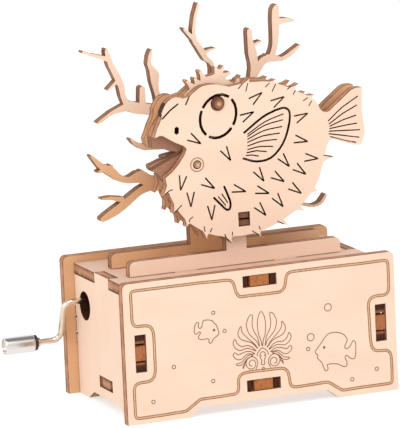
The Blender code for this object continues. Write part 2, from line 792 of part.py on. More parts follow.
def build_side_panels(root):
    half = inner_half_depth
    foot_end = half - side_foot_length
    slope_end = foot_end - side_foot_slope
    top = deck_under - seat_gap
    key = deck_key_width / 2
    outline = [
        (-half, 0), (-foot_end, 0), (-slope_end, side_foot_rise), (slope_end, side_foot_rise),
        (foot_end, 0), (half, 0), (half, top), (key, top), (key, deck_top), (-key, deck_top),
        (-key, top), (-half, top),
    ]
    slits = []
    solids = [outline]
    middle = box_height / 2
    for side in (-1, 1):
        place = Vector((side * half, middle))
        add_tenon(solids, slits, place, Vector((side, 0)), side_tenon_width, side_prong_width, ply)
    bottom_slot = slot_loop(0, bottom_lift + ply / 2, deck_tenon_width, ply)
    crank_hole = circle_loop(
        (middle_depth - crank_depth + crank_hole_forward, crank_height - crank_hole_drop),
        crank_hole_radius, round_steps,
    )
    left = plate_mesh("left_side_panel", solids, slits + [bottom_slot, crank_hole], ply)
    right = plate_mesh("right_side_panel", solids, slits + [bottom_slot], ply)
    left_place = (-side_outer, middle_depth, 0)
    right_place = (side_outer, middle_depth, 0)
    add_piece("left_side_panel", left, root, left_place, facing_left, wood_colour, wood_finish)
    add_piece("right_side_panel", right, root, right_place, facing_right, wood_colour, wood_finish)


def build_deck(root):
    key = deck_key_width / 2 + slot_clearance
    notch = ply + slot_clearance
    half = inner_half_depth
    outline = [
        (-side_outer, -half), (side_outer, -half), (side_outer, -key),
        (side_outer - notch, -key), (side_outer - notch, key), (side_outer, key),
        (side_outer, half), (-side_outer, half), (-side_outer, key),
        (notch - side_outer, key), (notch - side_outer, -key), (-side_outer, -key),
    ]
    solids = [outline]
    holes = []
    for side in (-1, 1):
        place = Vector((0, side * half))
        add_tenon(solids, holes, place, Vector((0, side)), deck_tenon_width, deck_prong_width, ply)
    for setback in (fish_setback, coral_setback):
        slot_middle = setback + ply / 2 - middle_depth
        for side in (-1, 1):
            holes.append(slot_loop(side * rail_tab_offset, slot_middle, rail_tab_width, ply))
    data = plate_mesh("top_deck", solids, holes, ply)
    place = (0, middle_depth, deck_top)
    return add_piece("top_deck", data, root, place, lying_flat, wood_colour, wood_finish)


def build_bottom(root):
    half_length = side_inner - seat_gap
    half = inner_half_depth
    solids = [box_loop(-half_length, -half, half_length, half)]
    holes = []
    for side in (-1, 1):
        front = Vector((0, side * half))
        end = Vector((side * half_length, 0))
        add_tenon(solids, holes, front, Vector((0, side)), deck_tenon_width, deck_prong_width, ply)
        add_tenon(solids, holes, end, Vector((side, 0)), deck_tenon_width, deck_prong_width, ply)
    data = plate_mesh("bottom_panel", solids, holes, ply)
    place = (0, middle_depth, bottom_lift + ply)
    add_piece("bottom_panel", data, root, place, lying_flat, shaded_wood_colour, wood_finish)


# Figure plates

def rail_loops(post_width, post_offset):
    # The rail with its round upper corners, its two tabs and the post that carries the figure
    half = rail_length / 2
    top = rail_bottom + rail_height
    post = post_width / 2
    rail = box_loop(-half, rail_bottom, half, top)
    loops = [rounded_loop(rail, [0, 0, rail_corner_radius, rail_corner_radius])]
    for side in (-1, 1):
        tab = side * rail_tab_offset
        tab_half = rail_tab_width / 2
        loops.append(box_loop(tab - tab_half, deck_under, tab + tab_half, top - rail_height / 2))
    post_top = figure_point((0, post_top_share))[1]
    post_foot = rail_bottom + rail_height / 2
    loops.append(box_loop(post_offset - post, post_foot, post_offset + post, post_top))
    return loops


def fish_holes():
    peg = figure_point(peg_place_share)
    half_width = ply / 2 + peg_clearance
    half_height = peg_height / 2 + peg_clearance
    eye = figure_point(eye_dowel_share)
    mouth = figure_point(mouth_dowel_share)
    return [
        box_loop(peg[0] - half_width, peg[1] - half_height, peg[0] + half_width, peg[1] + half_height),
        circle_loop(eye, eye_dowel_radius + slot_clearance, dowel_steps),
        circle_loop(mouth, mouth_dowel_radius + slot_clearance, dowel_steps),
    ]


def eye_arc(start, end):
    # Part of an oval whose long axis leans
    shares = []
    for step in range(arc_steps + 1):
        angle = math.radians(start + (end - start) * step / arc_steps)
        turn = angle - math.radians(eye_lean_degrees)
        spread = math.hypot(eye_short_share * math.cos(turn), eye_long_share * math.sin(turn))
        radius_share = eye_long_share * eye_short_share / spread
        x_share = eye_centre_share[0] + radius_share * math.cos(angle)
        z_share = eye_centre_share[1] + radius_share * math.sin(angle)
        shares.append((x_share, z_share))
    return stroke_loop([(*figure_point(share), eye_cut) for share in shares])


def quill_loop(x_share, z_share, degrees):
    # A V whose point faces outwards
    tip = Vector(figure_point((x_share, z_share)))
    angle = math.radians(degrees)
    ahead = Vector((math.cos(angle), math.sin(angle)))
    across = Vector((-ahead.y, ahead.x))
    outer = quill_spread / 2
    inner = outer - cut_line
    throat = quill_length * cut_line / (outer + inner)
    spots = [
        tip + across * cut_line / 2,
        tip - ahead * quill_length + across * outer,
        tip - ahead * quill_length + across * inner,
        tip - ahead * throat,
        tip - ahead * quill_length - across * inner,
        tip - ahead * quill_length - across * outer,
        tip - across * cut_line / 2,
    ]
    return [tuple(spot) for spot in spots]


def build_outer_fish(root):
    outline = (
        figure_run(brow_shares) + figure_run(bump_shares) + figure_run(dome_shares)[1:]
        + thorny_run(back_shares, back_thorn_shares, back_thorn_foot, back_thorn_lean, 0)[1:]
        + figure_run(tail_top_shares)[1:] + figure_run(tail_end_shares)[1:]
        + figure_run(tail_under_shares)[1:]
        + thorny_run(belly_shares, belly_thorn_shares, thorn_foot, belly_thorn_lean, 0)[1:]
        + figure_run(mouth_shares)[1:]
    )
    holes = fish_holes()
    holes.extend(eye_arc(start, end) for start, end in eye_arc_degrees)
    holes.append(cut_along(nostril_shares, nostril_width_share * figure_size))
    holes.append(cut_along(fin_shares, bold_cut))
    holes.append(cut_along(belly_fin_shares, bold_cut))
    lip = [figure_point(share) for share in rear_lip_shares]
    rear = plate_mesh("fish_rear_plate", [outline, lip], holes, ply)
    place = (0, rear_plate_depth, 0)
    add_piece("fish_rear_plate", rear, root, place, facing_front, shaded_wood_colour, wood_finish)
    holes.append(cut_along(brow_line_shares, cut_line))
    holes.append(cut_along(cheek_line_shares, cut_line))
    for shares in fin_ray_shares + belly_fin_ray_shares + tail_ray_shares:
        holes.append(cut_along(shares, ray_cut))
    holes.extend(quill_loop(*quill) for quill in quill_tip_shares)
    data = plate_mesh("fish_front_plate", [outline], holes, ply)
    place = (0, front_plate_depth, 0)
    add_piece("fish_front_plate", data, root, place, facing_front, wood_colour, wood_finish)


def build_middle_fish(root):
    outline = (
        figure_run(lip_shares)
        + thorny_run(crest_shares, crest_thorn_shares, crest_thorn_foot, 0, crest_thorn_width)[1:]
        + figure_run(middle_back_shares)[1:] + figure_run(middle_tail_shares)[1:]
        + figure_run(middle_belly_shares)[1:]
        + figure_run(jaw_lining_shares)[1:] + figure_run(palate_lining_shares)[1:]
    )
    solids = [outline] + rail_loops(fish_post_width, fish_post_offset)
    data = plate_mesh("fish_core_plate", solids, fish_holes(), ply)
    place = (0, fish_setback, 0)
    add_piece("fish_core_plate", data, root, place, facing_front, wood_colour, wood_finish)


def build_coral(root):
    solids = rail_loops(coral_post_width, coral_post_offset)
    solids.extend(branch(shares) for shares in coral_branch_shares)
    data = plate_mesh("coral_plate", solids, fish_holes()[:1], ply)
    place = (0, coral_setback, 0)
    add_piece("coral_plate", data, root, place, facing_front, wood_colour, wood_finish)


def build_peg(root):
    # Seen from the left, so its front end is at the positive side of the drawing
    x, z = figure_point(peg_place_share)
    front = middle_depth - front_plate_depth - peg_recess
    back = middle_depth - coral_setback - ply + peg_recess
    shoulder_front = middle_depth - rear_plate_depth - ply - seat_gap
    shoulder_back = middle_depth - coral_setback + seat_gap
    half = peg_height / 2
    shoulder = peg_shoulder_height / 2
    slit = peg_slit_width / 2
    solids = [
        box_loop(back, z - half, front, z + half),
        box_loop(shoulder_back, z - shoulder, shoulder_front, z + shoulder),
    ]
    slits = [box_loop(front - peg_slit_depth, z - slit, front + overrun, z + slit)]
    data = plate_mesh("cross_peg", solids, slits, ply)
    place = (x - ply / 2, middle_depth, 0)
    add_piece("cross_peg", data, root, place, facing_left, shaded_wood_colour, wood_finish)


def build_dowel(root, name, share, radius, stand):
    x, z = figure_point(share)
    front = front_plate_depth - stand
    length = rear_plate_depth + ply - front
    edge = radius - dowel_chamfer
    profile = [
        (0, 0), (0, edge), (dowel_chamfer, radius), (length - dowel_chamfer, radius),
        (length, edge), (length, 0),
    ]
    data = turned_mesh(name, profile, dowel_steps)
    add_piece(name, data, root, (x, front, z), along_y, dowel_colour, wood_finish)


# Crank

def bend_points(before, corner, after):
    # Points of the arc that rounds a bend of the rod
    back = (before - corner).normalized()
    onward = (after - corner).normalized()
    half = back.angle(onward) / 2
    centre = corner + (back + onward).normalized() * rod_bend_radius / math.sin(half)
    start = corner + back * rod_bend_radius / math.tan(half) - centre
    end = corner + onward * rod_bend_radius / math.tan(half) - centre
    sweep = [start.slerp(end, step / bend_steps) for step in range(bend_steps + 1)]
    return [centre + spot * rod_bend_radius for spot in sweep]


def rod_mesh():
    # The rod is drawn from its inner end, with the crank's axis at the origin
    inner = Vector((shaft_end_x, 0, 0))
    elbow = Vector((arm_x, 0, 0))
    wrist = Vector((arm_x, arm_rearward, -arm_downward))
    face = knob_outer_x + knob_recess_depth
    tip = Vector((face - seat_gap - rivet_thickness, arm_rearward, -arm_downward))
    rivet = Vector((face - seat_gap, arm_rearward, -arm_downward))
    collar_right = knob_inner_x + ring_thickness + seat_gap * 2 + rod_collar_length
    collar_left = collar_right - rod_collar_length
    spots = [(inner, 1)]
    spots.extend((point, 1) for point in bend_points(inner, elbow, wrist))
    spots.extend((point, 1) for point in bend_points(elbow, wrist, tip))
    collar = rod_collar_radius / rod_radius
    for x, size in ((collar_right, 1), (collar_right, collar), (collar_left, collar), (collar_left, 1)):
        spots.append((Vector((x, arm_rearward, -arm_downward)), size))
    head = rivet_radius / rod_radius
    spots.extend([(rivet, 1), (rivet, head), (tip, head)])
    curve = bpy.data.curves.new("crank_rod", "CURVE")
    curve.dimensions = "3D"
    curve.bevel_depth = rod_radius
    curve.bevel_resolution = 4
    curve.use_fill_caps = True
    line = curve.splines.new("POLY")
    line.points.add(len(spots) - 1)
    previous = None
    for point, (spot, size) in zip(line.points, spots):
        placed = spot.copy()
        if previous is not None and (placed - previous).length < same_point:
            placed.x -= same_point
        point.co = (*placed, 1)
        point.radius = size
        previous = placed
    return curve


def build_crank(root):
    pivot = empty("crank_pivot", (0, crank_depth, crank_height), root)
    knob_pivot = empty("knob_pivot", (0, arm_rearward, -arm_downward), pivot)
    add_piece("crank_rod", rod_mesh(), pivot, (0, 0, 0), along_x, steel_colour, steel_finish)
    bore = rod_radius + running_clearance
    recess = knob_recess_radius
    waist = knob_radius - knob_edge
    middle = knob_length / 2
    profile = [
        (0, bore), (0, waist), (knob_edge, knob_radius), (middle, knob_waist),
        (knob_length - knob_edge, knob_radius), (knob_length, waist), (knob_length, bore),
    ]
    flipped = [(knob_outer_x + along, radius) for along, radius in profile]
    flipped[0] = (knob_outer_x, recess)
    flipped.insert(0, (knob_outer_x + knob_recess_depth, recess))
    flipped.insert(0, (knob_outer_x + knob_recess_depth, bore))
    knob = turned_mesh("crank_knob", flipped, round_steps)
    add_piece("crank_knob", knob, knob_pivot, (0, 0, 0), along_x, chrome_colour, chrome_finish)
    start = knob_inner_x + seat_gap
    end = start + ring_thickness
    ring_profile = [(start, bore), (start, ring_radius), (end, ring_radius), (end, bore)]
    ring = turned_mesh("knob_ring", ring_profile, round_steps)
    add_piece("knob_ring", ring, knob_pivot, (0, 0, 0), along_x, ring_colour, ring_finish)
    build_worm(pivot)
    collar_start = lug_left_x - lug_thickness / 2 - seat_gap - collar_length
    bore = rod_radius + seat_gap
    collar_profile = [
        (collar_start, bore), (collar_start, collar_radius),
        (collar_start + collar_length, collar_radius), (collar_start + collar_length, bore),
    ]
    collar = turned_mesh("shaft_collar", collar_profile, round_steps)
    add_piece("shaft_collar", collar, pivot, (0, 0, 0), along_x, brass_colour, steel_finish)


def build_worm(pivot):
    # One helical thread wound on a hub; the hub's neck runs up to the left bearing
    bore = rod_radius + seat_gap
    root_radius = worm_pitch_radius - gear_dedendum
    tip_radius = worm_pitch_radius + gear_addendum
    start = wheel_x - worm_length / 2
    end = wheel_x + worm_length / 2
    neck = lug_left_x + lug_thickness / 2 + seat_gap
    neck_end = start - gear_dedendum
    profile = [
        (neck, bore), (neck, worm_hub_radius), (neck_end, worm_hub_radius),
        (neck_end, root_radius), (end + gear_dedendum, root_radius), (end + gear_dedendum, bore),
    ]
    hub = turned_mesh("worm", profile, round_steps)
    worm = add_piece("worm", hub, pivot, (0, 0, 0), along_x, steel_colour, steel_finish)
    pitch = math.pi * gear_module
    turns = (end - start - thread_root) / pitch
    count = round(turns * thread_steps)
    depth = tip_radius - root_radius
    sunk_half = thread_root / 2 + (thread_root - thread_tip) / 2 * thread_sink / depth
    section = [
        (-sunk_half, root_radius - thread_sink), (-thread_tip / 2, tip_radius),
        (thread_tip / 2, tip_radius), (sunk_half, root_radius - thread_sink),
    ]
    build = bmesh.new()
    rings = []
    for step in range(count + 1):
        turn = math.tau * (step - count / 2) / thread_steps
        x = wheel_x + pitch * turn / math.tau
        angle = turn + math.radians(90)
        ring = []
        for offset, radius in section:
            ring.append(build.verts.new((x + offset, radius * math.cos(angle), radius * math.sin(angle))))
        rings.append(ring)
    for ring, after in zip(rings, rings[1:]):
        for corner in range(len(section)):
            onward = (corner + 1) % len(section)
            build.faces.new([ring[corner], ring[onward], after[onward], after[corner]])
    build.faces.new(rings[0])
    build.faces.new(rings[-1][::-1])
    bmesh.ops.recalc_face_normals(build, faces=build.faces)
    data = finish_mesh("worm_thread", build)
    thread = add_piece("worm_thread", data, pivot, (0, 0, 0), along_x, steel_colour, steel_finish)
    hide_guide(thread)
    combine(worm, thread, "UNION")


# Movement places that several pieces share
lug_left_x = wheel_x - lug_left
lug_right_x = wheel_x + lug_right
shaft_end_x = lug_right_x + lug_thickness / 2 + shaft_tail
wheel_front = crank_depth - wheel_width / 2
cylinder_rear = wheel_front - cylinder_to_wheel
cylinder_front = cylinder_rear - cylinder_length
front_post_rear = cylinder_front - post_gap
rear_post_front = crank_depth + wheel_width / 2 + rear_post_gap
base_under = deck_under - seat_gap - base_thickness
base_left_x = wheel_x - base_left
base_right_x = wheel_x + base_right
base_front_depth = front_post_rear - post_thickness - base_front
base_rear_depth = rear_post_front + post_thickness + base_rear
comb_tip_x = wheel_x + cylinder_radius + pin_height + comb_gap
comb_top = wheel_height + comb_thickness / 2
comb_block_x = wheel_x + comb_block_start
comb_screw_x = comb_block_x + comb_screw_setback
comb_middle = (cylinder_front + cylinder_rear) / 2


def build_movement_base(root, deck):
    width = base_right_x - base_left_x
    depth = base_rear_depth - base_front_depth
    plate = box_loop(base_left_x, base_front_depth, base_left_x + width, base_front_depth + depth)
    hole_radius = screw_shank_radius + slot_clearance
    holes = [circle_loop(place, hole_radius, small_round_steps) for place in base_screw_places()]
    outline = rounded_loop(plate, [base_corner_radius] * len(plate))
    data = plate_mesh("movement_base", [outline], holes, base_thickness)
    place = (0, 0, base_under + base_thickness)
    base = add_piece("movement_base", data, root, place, lying_flat, cast_colour, cast_finish)
    overlap = base_thickness / 2
    for name, x in (("lug_left", lug_left_x), ("lug_right", lug_right_x)):
        hole = (-crank_depth, crank_height)
        half = lug_width / 2
        loop = post_loop(-crank_depth, crank_height, half, base_under + overlap)
        bearing = circle_loop(hole, rod_radius + running_clearance, round_steps)
        lug = plate_mesh(name, [loop], [bearing], lug_thickness)
        place = (x - lug_thickness / 2, 0, 0)
        guide = add_piece(name, lug, root, place, facing_left, cast_colour, cast_finish)
        hide_guide(guide)
        combine(base, guide, "UNION")
    for name, y in (("post_front", front_post_rear - post_thickness), ("post_rear", rear_post_front)):
        half = post_width / 2
        loop = post_loop(wheel_x, wheel_height, half, base_under + overlap)
        bearing = circle_loop((wheel_x, wheel_height), journal_radius + running_clearance, round_steps)
        post = plate_mesh(name, [loop], [bearing], post_thickness)
        guide = add_piece(name, post, root, (0, y, 0), facing_front, cast_colour, cast_finish)
        hide_guide(guide)
        combine(base, guide, "UNION")
    block_under = comb_top + seat_gap
    block = box_loop(
        comb_block_x, block_under, comb_block_x + comb_block_width, base_under + overlap,
    )
    data = plate_mesh("comb_block", [block], [], cylinder_length)
    place = (0, cylinder_front, 0)
    guide = add_piece("comb_block", data, root, place, facing_front, cast_colour, cast_finish)
    hide_guide(guide)
    combine(base, guide, "UNION")
    pilot = screw_shank_radius + slot_clearance
    for index, y in enumerate(comb_screw_depths(), 1):
        name = "comb_pilot_" + str(index)
        place = (comb_screw_x, y, block_under)
        length = 2 * (screw_bite + slot_clearance)
        cutter = cylinder_cutter(name, place, pilot, length, along_z, root, small_round_steps)
        combine(base, cutter, "DIFFERENCE")
    for index, (x, y) in enumerate(base_screw_places(), 1):
        name = "deck_pilot_" + str(index)
        length = 2 * (screw_bite + slot_clearance)
        place = (x, y, deck_under)
        cutter = cylinder_cutter(name, place, pilot, length, along_z, root, small_round_steps)
        combine(deck, cutter, "DIFFERENCE")


def post_loop(middle, centre, half, top):
    # A hanging bearing post with a round foot about its hole
    loop = [(middle - half, top), (middle - half, centre)]
    for step in range(1, corner_steps * 2):
        angle = math.pi * step / (corner_steps * 2)
        loop.append((middle - half * math.cos(angle), centre - half * math.sin(angle)))
    loop.extend([(middle + half, centre), (middle + half, top)])
    return loop


def base_screw_places():
    left = base_left_x + screw_inset
    right = base_right_x - screw_inset
    front = base_front_depth + screw_inset
    rear = base_rear_depth - screw_inset
    return [(left, front), (right, front), (left, rear), (right, rear)]


def comb_screw_depths():
    half = comb_screw_spacing / 2
    return [comb_middle - half, comb_middle + half]


def build_cylinder(root):
    pivot = empty("cylinder_pivot", (wheel_x, 0, wheel_height), root)
    bore = arbor_radius + seat_gap
    profile = [
        (cylinder_front, bore), (cylinder_front, cylinder_radius),
        (cylinder_rear, cylinder_radius), (cylinder_rear, bore),
    ]
    barrel = turned_mesh("pin_cylinder", profile, round_steps + round_steps // 2)
    drum = add_piece("pin_cylinder", barrel, pivot, (0, 0, 0), along_y, brass_colour, steel_finish)
    build = bmesh.new()
    track_pitch = (cylinder_length - 2 * pin_end_margin - pin_width) / (comb_teeth - 1)
    for note in range(tune_notes):
        track = note * tune_stride % comb_teeth
        angle = math.tau * tune_turn_share * note / tune_notes
        middle = cylinder_front + pin_end_margin + pin_width / 2 + track * track_pitch
        add_pin(build, middle, angle)
    data = finish_mesh("tune_pins", build)
    pins = add_piece("tune_pins", data, pivot, (0, 0, 0), along_y, brass_colour, steel_finish)
    hide_guide(pins)
    combine(drum, pins, "UNION")
    build_wheel(pivot)
    front = front_post_rear - post_thickness
    rear = rear_post_front + post_thickness
    spine = [
        (front, 0), (front, journal_radius), (front_post_rear + seat_gap, journal_radius),
        (front_post_rear + seat_gap, arbor_radius),
        (rear_post_front - seat_gap * 4, arbor_radius),
        (rear_post_front - seat_gap * 4, shoulder_radius),
        (rear_post_front - seat_gap, shoulder_radius), (rear_post_front - seat_gap, journal_radius),
        (rear, journal_radius), (rear, 0),
    ]
    arbor = turned_mesh("cylinder_arbor", spine, round_steps)
    add_piece("cylinder_arbor", arbor, pivot, (0, 0, 0), along_y, steel_colour, steel_finish)


def add_pin(build, middle, angle):
    # A square pin that stands out of the barrel
    half = pin_width / 2
    low = cylinder_radius - pin_sink
    high = cylinder_radius + pin_height
    rings = []
    for radius in (low, high):
        ring = []
        for along, across in ((-half, -half), (half, -half), (half, half), (-half, half)):
            y = across * math.cos(angle) - radius * math.sin(angle)
            z = across * math.sin(angle) + radius * math.cos(angle)
            ring.append(build.verts.new((middle + along, y, z)))
        rings.append(ring)
    inner, outer = rings
    build.faces.new(inner[::-1])
    build.faces.new(outer)
    for corner in range(4):
        onward = (corner + 1) % 4
        build.faces.new([inner[corner], inner[onward], outer[onward], outer[corner]])


def build_wheel(pivot):
    # Teeth slant with the worm's lead; a hub fills the space up to the cylinder
    tip_radius = wheel_pitch_radius + gear_addendum
    root_radius = wheel_pitch_radius - gear_dedendum
    lead_slope = gear_module / (2 * worm_pitch_radius)
    full_twist = lead_slope * wheel_width / wheel_pitch_radius
    bore = arbor_radius + seat_gap
    build = bmesh.new()
    rings = []
    for step in range(twist_steps + 1):
        y = wheel_front + wheel_width * step / twist_steps
        twist = full_twist * (step / twist_steps - 1 / 2)
        ring = []
        for tooth in range(wheel_teeth):
            middle = math.tau * tooth / wheel_teeth + twist
            for radius, width in (
                (root_radius, -wheel_tooth_root), (tip_radius, -wheel_tooth_tip),
                (tip_radius, wheel_tooth_tip), (root_radius, wheel_tooth_root),
            ):
                angle = middle + width / 2 / radius
                ring.append(build.verts.new((radius * math.sin(angle), y, radius * math.cos(angle))))
        rings.append(ring)
    for ring, after in zip(rings, rings[1:]):
        for corner in range(len(ring)):
            onward = (corner + 1) % len(ring)
            build.faces.new([ring[corner], ring[onward], after[onward], after[corner]])
    build.faces.new(rings[0])
    build.faces.new(rings[-1][::-1])
    bmesh.ops.recalc_face_normals(build, faces=build.faces)
    wheel = add_piece(
        "worm_wheel", finish_mesh("worm_wheel", build), pivot, (0, 0, 0), along_x,
        brass_colour, steel_finish,
    )
    hub_front = cylinder_rear + seat_gap
    hub_length = 2 * (wheel_front + wheel_width / 2 - hub_front)
    middle = (0, wheel_front + wheel_width / 2, 0)
    hub_data = turned_mesh("wheel_hub", [
        (hub_front, 0), (hub_front, wheel_hub_radius),
        (wheel_front + wheel_width / 2, wheel_hub_radius), (wheel_front + wheel_width / 2, 0),
    ], round_steps)
    hub = add_piece("wheel_hub", hub_data, pivot, (0, 0, 0), along_y, brass_colour, steel_finish)
    hide_guide(hub)
    combine(wheel, hub, "UNION")
    length = hub_length + 2 * overrun
    cutter = cylinder_cutter("wheel_bore", middle, bore, length, along_y, pivot, round_steps)
    combine(wheel, cutter, "DIFFERENCE")


def build_comb(root):
    # Free tips face the cylinder; the slots get longer towards the bass end
    pitch = (cylinder_length - 2 * pin_end_margin - pin_width) / (comb_teeth - 1)
    front = comb_middle - pitch * comb_teeth / 2
    rear = comb_middle + pitch * comb_teeth / 2
    end = comb_tip_x + comb_length
    outline = [(end, rear), (comb_tip_x, rear)]
    for slot in range(comb_teeth - 1, 0, -1):
        y = front + slot * pitch
        share = slot / comb_teeth
        depth = treble_length + (bass_length - treble_length) * share
        half = tooth_slot / 2
        outline.extend([
            (comb_tip_x, y + half), (comb_tip_x + depth, y + half),
            (comb_tip_x + depth, y - half), (comb_tip_x, y - half),
        ])
    outline.extend([(comb_tip_x, front), (end, front)])
    hole = screw_shank_radius + slot_clearance
    holes = [circle_loop((comb_screw_x, y), hole, small_round_steps) for y in comb_screw_depths()]
    data = plate_mesh("comb", [outline], holes, comb_thickness)
    add_piece("comb", data, root, (0, 0, comb_top), lying_flat, steel_colour, steel_finish)


def screw_mesh(grip):
    # A pan-head screw that points up, with its head's seat at the origin
    crown = screw_head_height - screw_head_crown
    profile = [
        (-grip, 0), (-grip, screw_shank_radius), (0, screw_shank_radius), (0, screw_head_radius),
        (crown, screw_head_radius), (screw_head_height, screw_head_radius - screw_head_crown),
        (screw_head_height, screw_driver_radius),
        (screw_head_height - screw_driver_depth, screw_driver_radius),
        (screw_head_height - screw_driver_depth, 0),
    ]
    return turned_mesh("screw", profile, small_round_steps)


def build_screws(root):
    base_grip = base_thickness + 2 * seat_gap + screw_bite
    base_screw = screw_mesh(base_grip)
    for index, (x, y) in enumerate(base_screw_places(), 1):
        name = "base_screw_" + str(index)
        place = (x, y, base_under - seat_gap)
        add_piece(name, base_screw, root, place, along_z, steel_colour, steel_finish)
    comb_grip = comb_thickness + 2 * seat_gap + screw_bite
    comb_screw = screw_mesh(comb_grip)
    for index, y in enumerate(comb_screw_depths(), 1):
        name = "comb_screw_" + str(index)
        place = (comb_screw_x, y, comb_top - comb_thickness - seat_gap)
        add_piece(name, comb_screw, root, place, along_z, steel_colour, steel_finish)


def build_music_box():
    clear_scene()
    root = empty("music_box", (-centre_x, -middle_depth, 0), None)
    build_end_panels(root)
    build_side_panels(root)
    deck = build_deck(root)
    build_bottom(root)
    build_outer_fish(root)
    build_middle_fish(root)
    build_coral(root)
    build_peg(root)
    build_dowel(root, "eye_dowel", eye_dowel_share, eye_dowel_radius, eye_dowel_stand)
    build_dowel(root, "mouth_dowel", mouth_dowel_share, mouth_dowel_radius, mouth_dowel_stand)
    build_crank(root)
    build_movement_base(root, deck)
    build_cylinder(root)
    build_comb(root)
    build_screws(root)


build_music_box()
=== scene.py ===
import math

import bpy
import numpy as np
from mathutils import Matrix, Vector


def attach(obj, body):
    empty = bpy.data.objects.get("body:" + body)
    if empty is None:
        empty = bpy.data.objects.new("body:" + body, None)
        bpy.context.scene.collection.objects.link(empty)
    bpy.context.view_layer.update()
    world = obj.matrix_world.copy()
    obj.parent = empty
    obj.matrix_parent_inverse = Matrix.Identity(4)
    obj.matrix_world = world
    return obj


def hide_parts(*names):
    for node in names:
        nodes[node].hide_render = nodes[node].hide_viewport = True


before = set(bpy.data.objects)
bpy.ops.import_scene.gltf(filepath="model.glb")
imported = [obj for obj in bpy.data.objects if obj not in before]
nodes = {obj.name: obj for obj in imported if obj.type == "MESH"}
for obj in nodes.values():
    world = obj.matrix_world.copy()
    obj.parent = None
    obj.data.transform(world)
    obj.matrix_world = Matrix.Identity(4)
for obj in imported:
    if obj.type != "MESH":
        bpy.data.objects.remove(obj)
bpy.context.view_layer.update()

mm = 0.001
creaseDegrees = 38

# Where the front panel's middle, its face and the deck lie in the frame, in millimetres
layout = {
    "middleX": 13.375, "frontY": -34.15, "deckZ": 52.2, "ply": 4.0,
    "fishFrontY": -15.15, "fishRearY": -6.55,
}


# One value on its way through a material; sums on it add Math nodes
class Flow:
    def __init__(self, finish, socket):
        self.finish = finish
        self.socket = socket

    def maths(self, operation, *values):
        sockets = dict(enumerate(values))
        return self.finish.node("ShaderNodeMath", {"operation": operation}, sockets)

    def __add__(self, other):
        return self.maths("ADD", self, other)

    __radd__ = __add__

    def __sub__(self, other):
        return self.maths("SUBTRACT", self, other)

    def __rsub__(self, other):
        return self.maths("SUBTRACT", other, self)

    def __mul__(self, other):
        return self.maths("MULTIPLY", self, other)

    __rmul__ = __mul__

    def __truediv__(self, other):
        return self.maths("DIVIDE", self, other)

    def __abs__(self):
        return self.maths("ABSOLUTE", self)

    def above(self, level):
        return self.maths("GREATER_THAN", self, level)

    def least(self, other):
        return self.maths("MINIMUM", self, other)

    def most(self, other):
        return self.maths("MAXIMUM", self, other)

    def wave(self):
        return self.maths("SINE", self)

    def root(self):
        return self.maths("SQRT", self)

    def spread(self, low, high):  # 0 at low, 1 at high, clamped
        settings = {"clamp": True, "interpolation_type": "SMOOTHSTEP"}
        return self.finish.node("ShaderNodeMapRange", settings, {0: self, 1: low, 2: high})


# One material being built: a Principled shader and the nodes that feed it
class Finish:
    def __init__(self, name, roughness=0.6, metallic=0.0, **steady):
        self.material = bpy.data.materials.new(name)
        self.material.use_nodes = True
        self.tree = self.material.node_tree
        self.tree.nodes.clear()
        self.shader = self.tree.nodes.new("ShaderNodeBsdfPrincipled")
        output = self.tree.nodes.new("ShaderNodeOutputMaterial")
        self.tree.links.new(self.shader.outputs[0], output.inputs[0])
        self.set("Roughness", roughness)
        self.set("Metallic", metallic)
        for key, value in steady.items():
            self.set(key.replace("_", " "), value)

    def set(self, key, value):
        self.feed(self.shader.inputs[key], value)

    def feed(self, socket, value):
        if isinstance(value, Flow):
            self.tree.links.new(value.socket, socket)
        elif isinstance(value, tuple) and len(value) == 3 and socket.type == "RGBA":
            socket.default_value = (*value, 1)
        else:
            socket.default_value = value

    def node(self, kind, settings, sockets, out=0):
        made = self.tree.nodes.new(kind)
        for key, value in settings.items():
            setattr(made, key, value)
        for key, value in sockets.items():
            self.feed(made.inputs[key], value)
        return Flow(self, made.outputs[out])

    def place(self):  # the spot on the piece in millimetres, as three numbers
        spot = self.node("ShaderNodeTexCoord", {}, {}, "Object")
        grown = self.node("ShaderNodeVectorMath", {"operation": "SCALE"}, {0: spot, 3: 1000.0})
        return [self.node("ShaderNodeSeparateXYZ", {}, {0: grown}, axis) for axis in range(3)]

    def facing(self, axis):  # how squarely the surface faces along an axis
        normal = self.node("ShaderNodeNewGeometry", {}, {}, "True Normal")
        return abs(self.node("ShaderNodeSeparateXYZ", {}, {0: normal}, axis))

    def vector(self, x, y, z):
        return self.node("ShaderNodeCombineXYZ", {}, {0: x, 1: y, 2: z})

    def noise(self, x, y, z, scale=1.0, detail=3.0, roughness=0.55):
        spot = self.vector(x, y, z)
        sockets = {"Vector": spot, "Scale": scale, "Detail": detail, "Roughness": roughness}
        return self.node("ShaderNodeTexNoise", {}, sockets)

    def mix(self, share, first, second):
        settings = {"data_type": "RGBA"}
        return self.node("ShaderNodeMix", settings, {0: share, 6: first, 7: second}, 2)

    def bump(self, height, strength, depth):
        sockets = {"Height": height, "Strength": strength, "Distance": depth}
        self.set("Normal", self.node("ShaderNodeBump", {}, sockets))


# Plywood: pale faces with fine grain, laser-browned edges with the plies showing

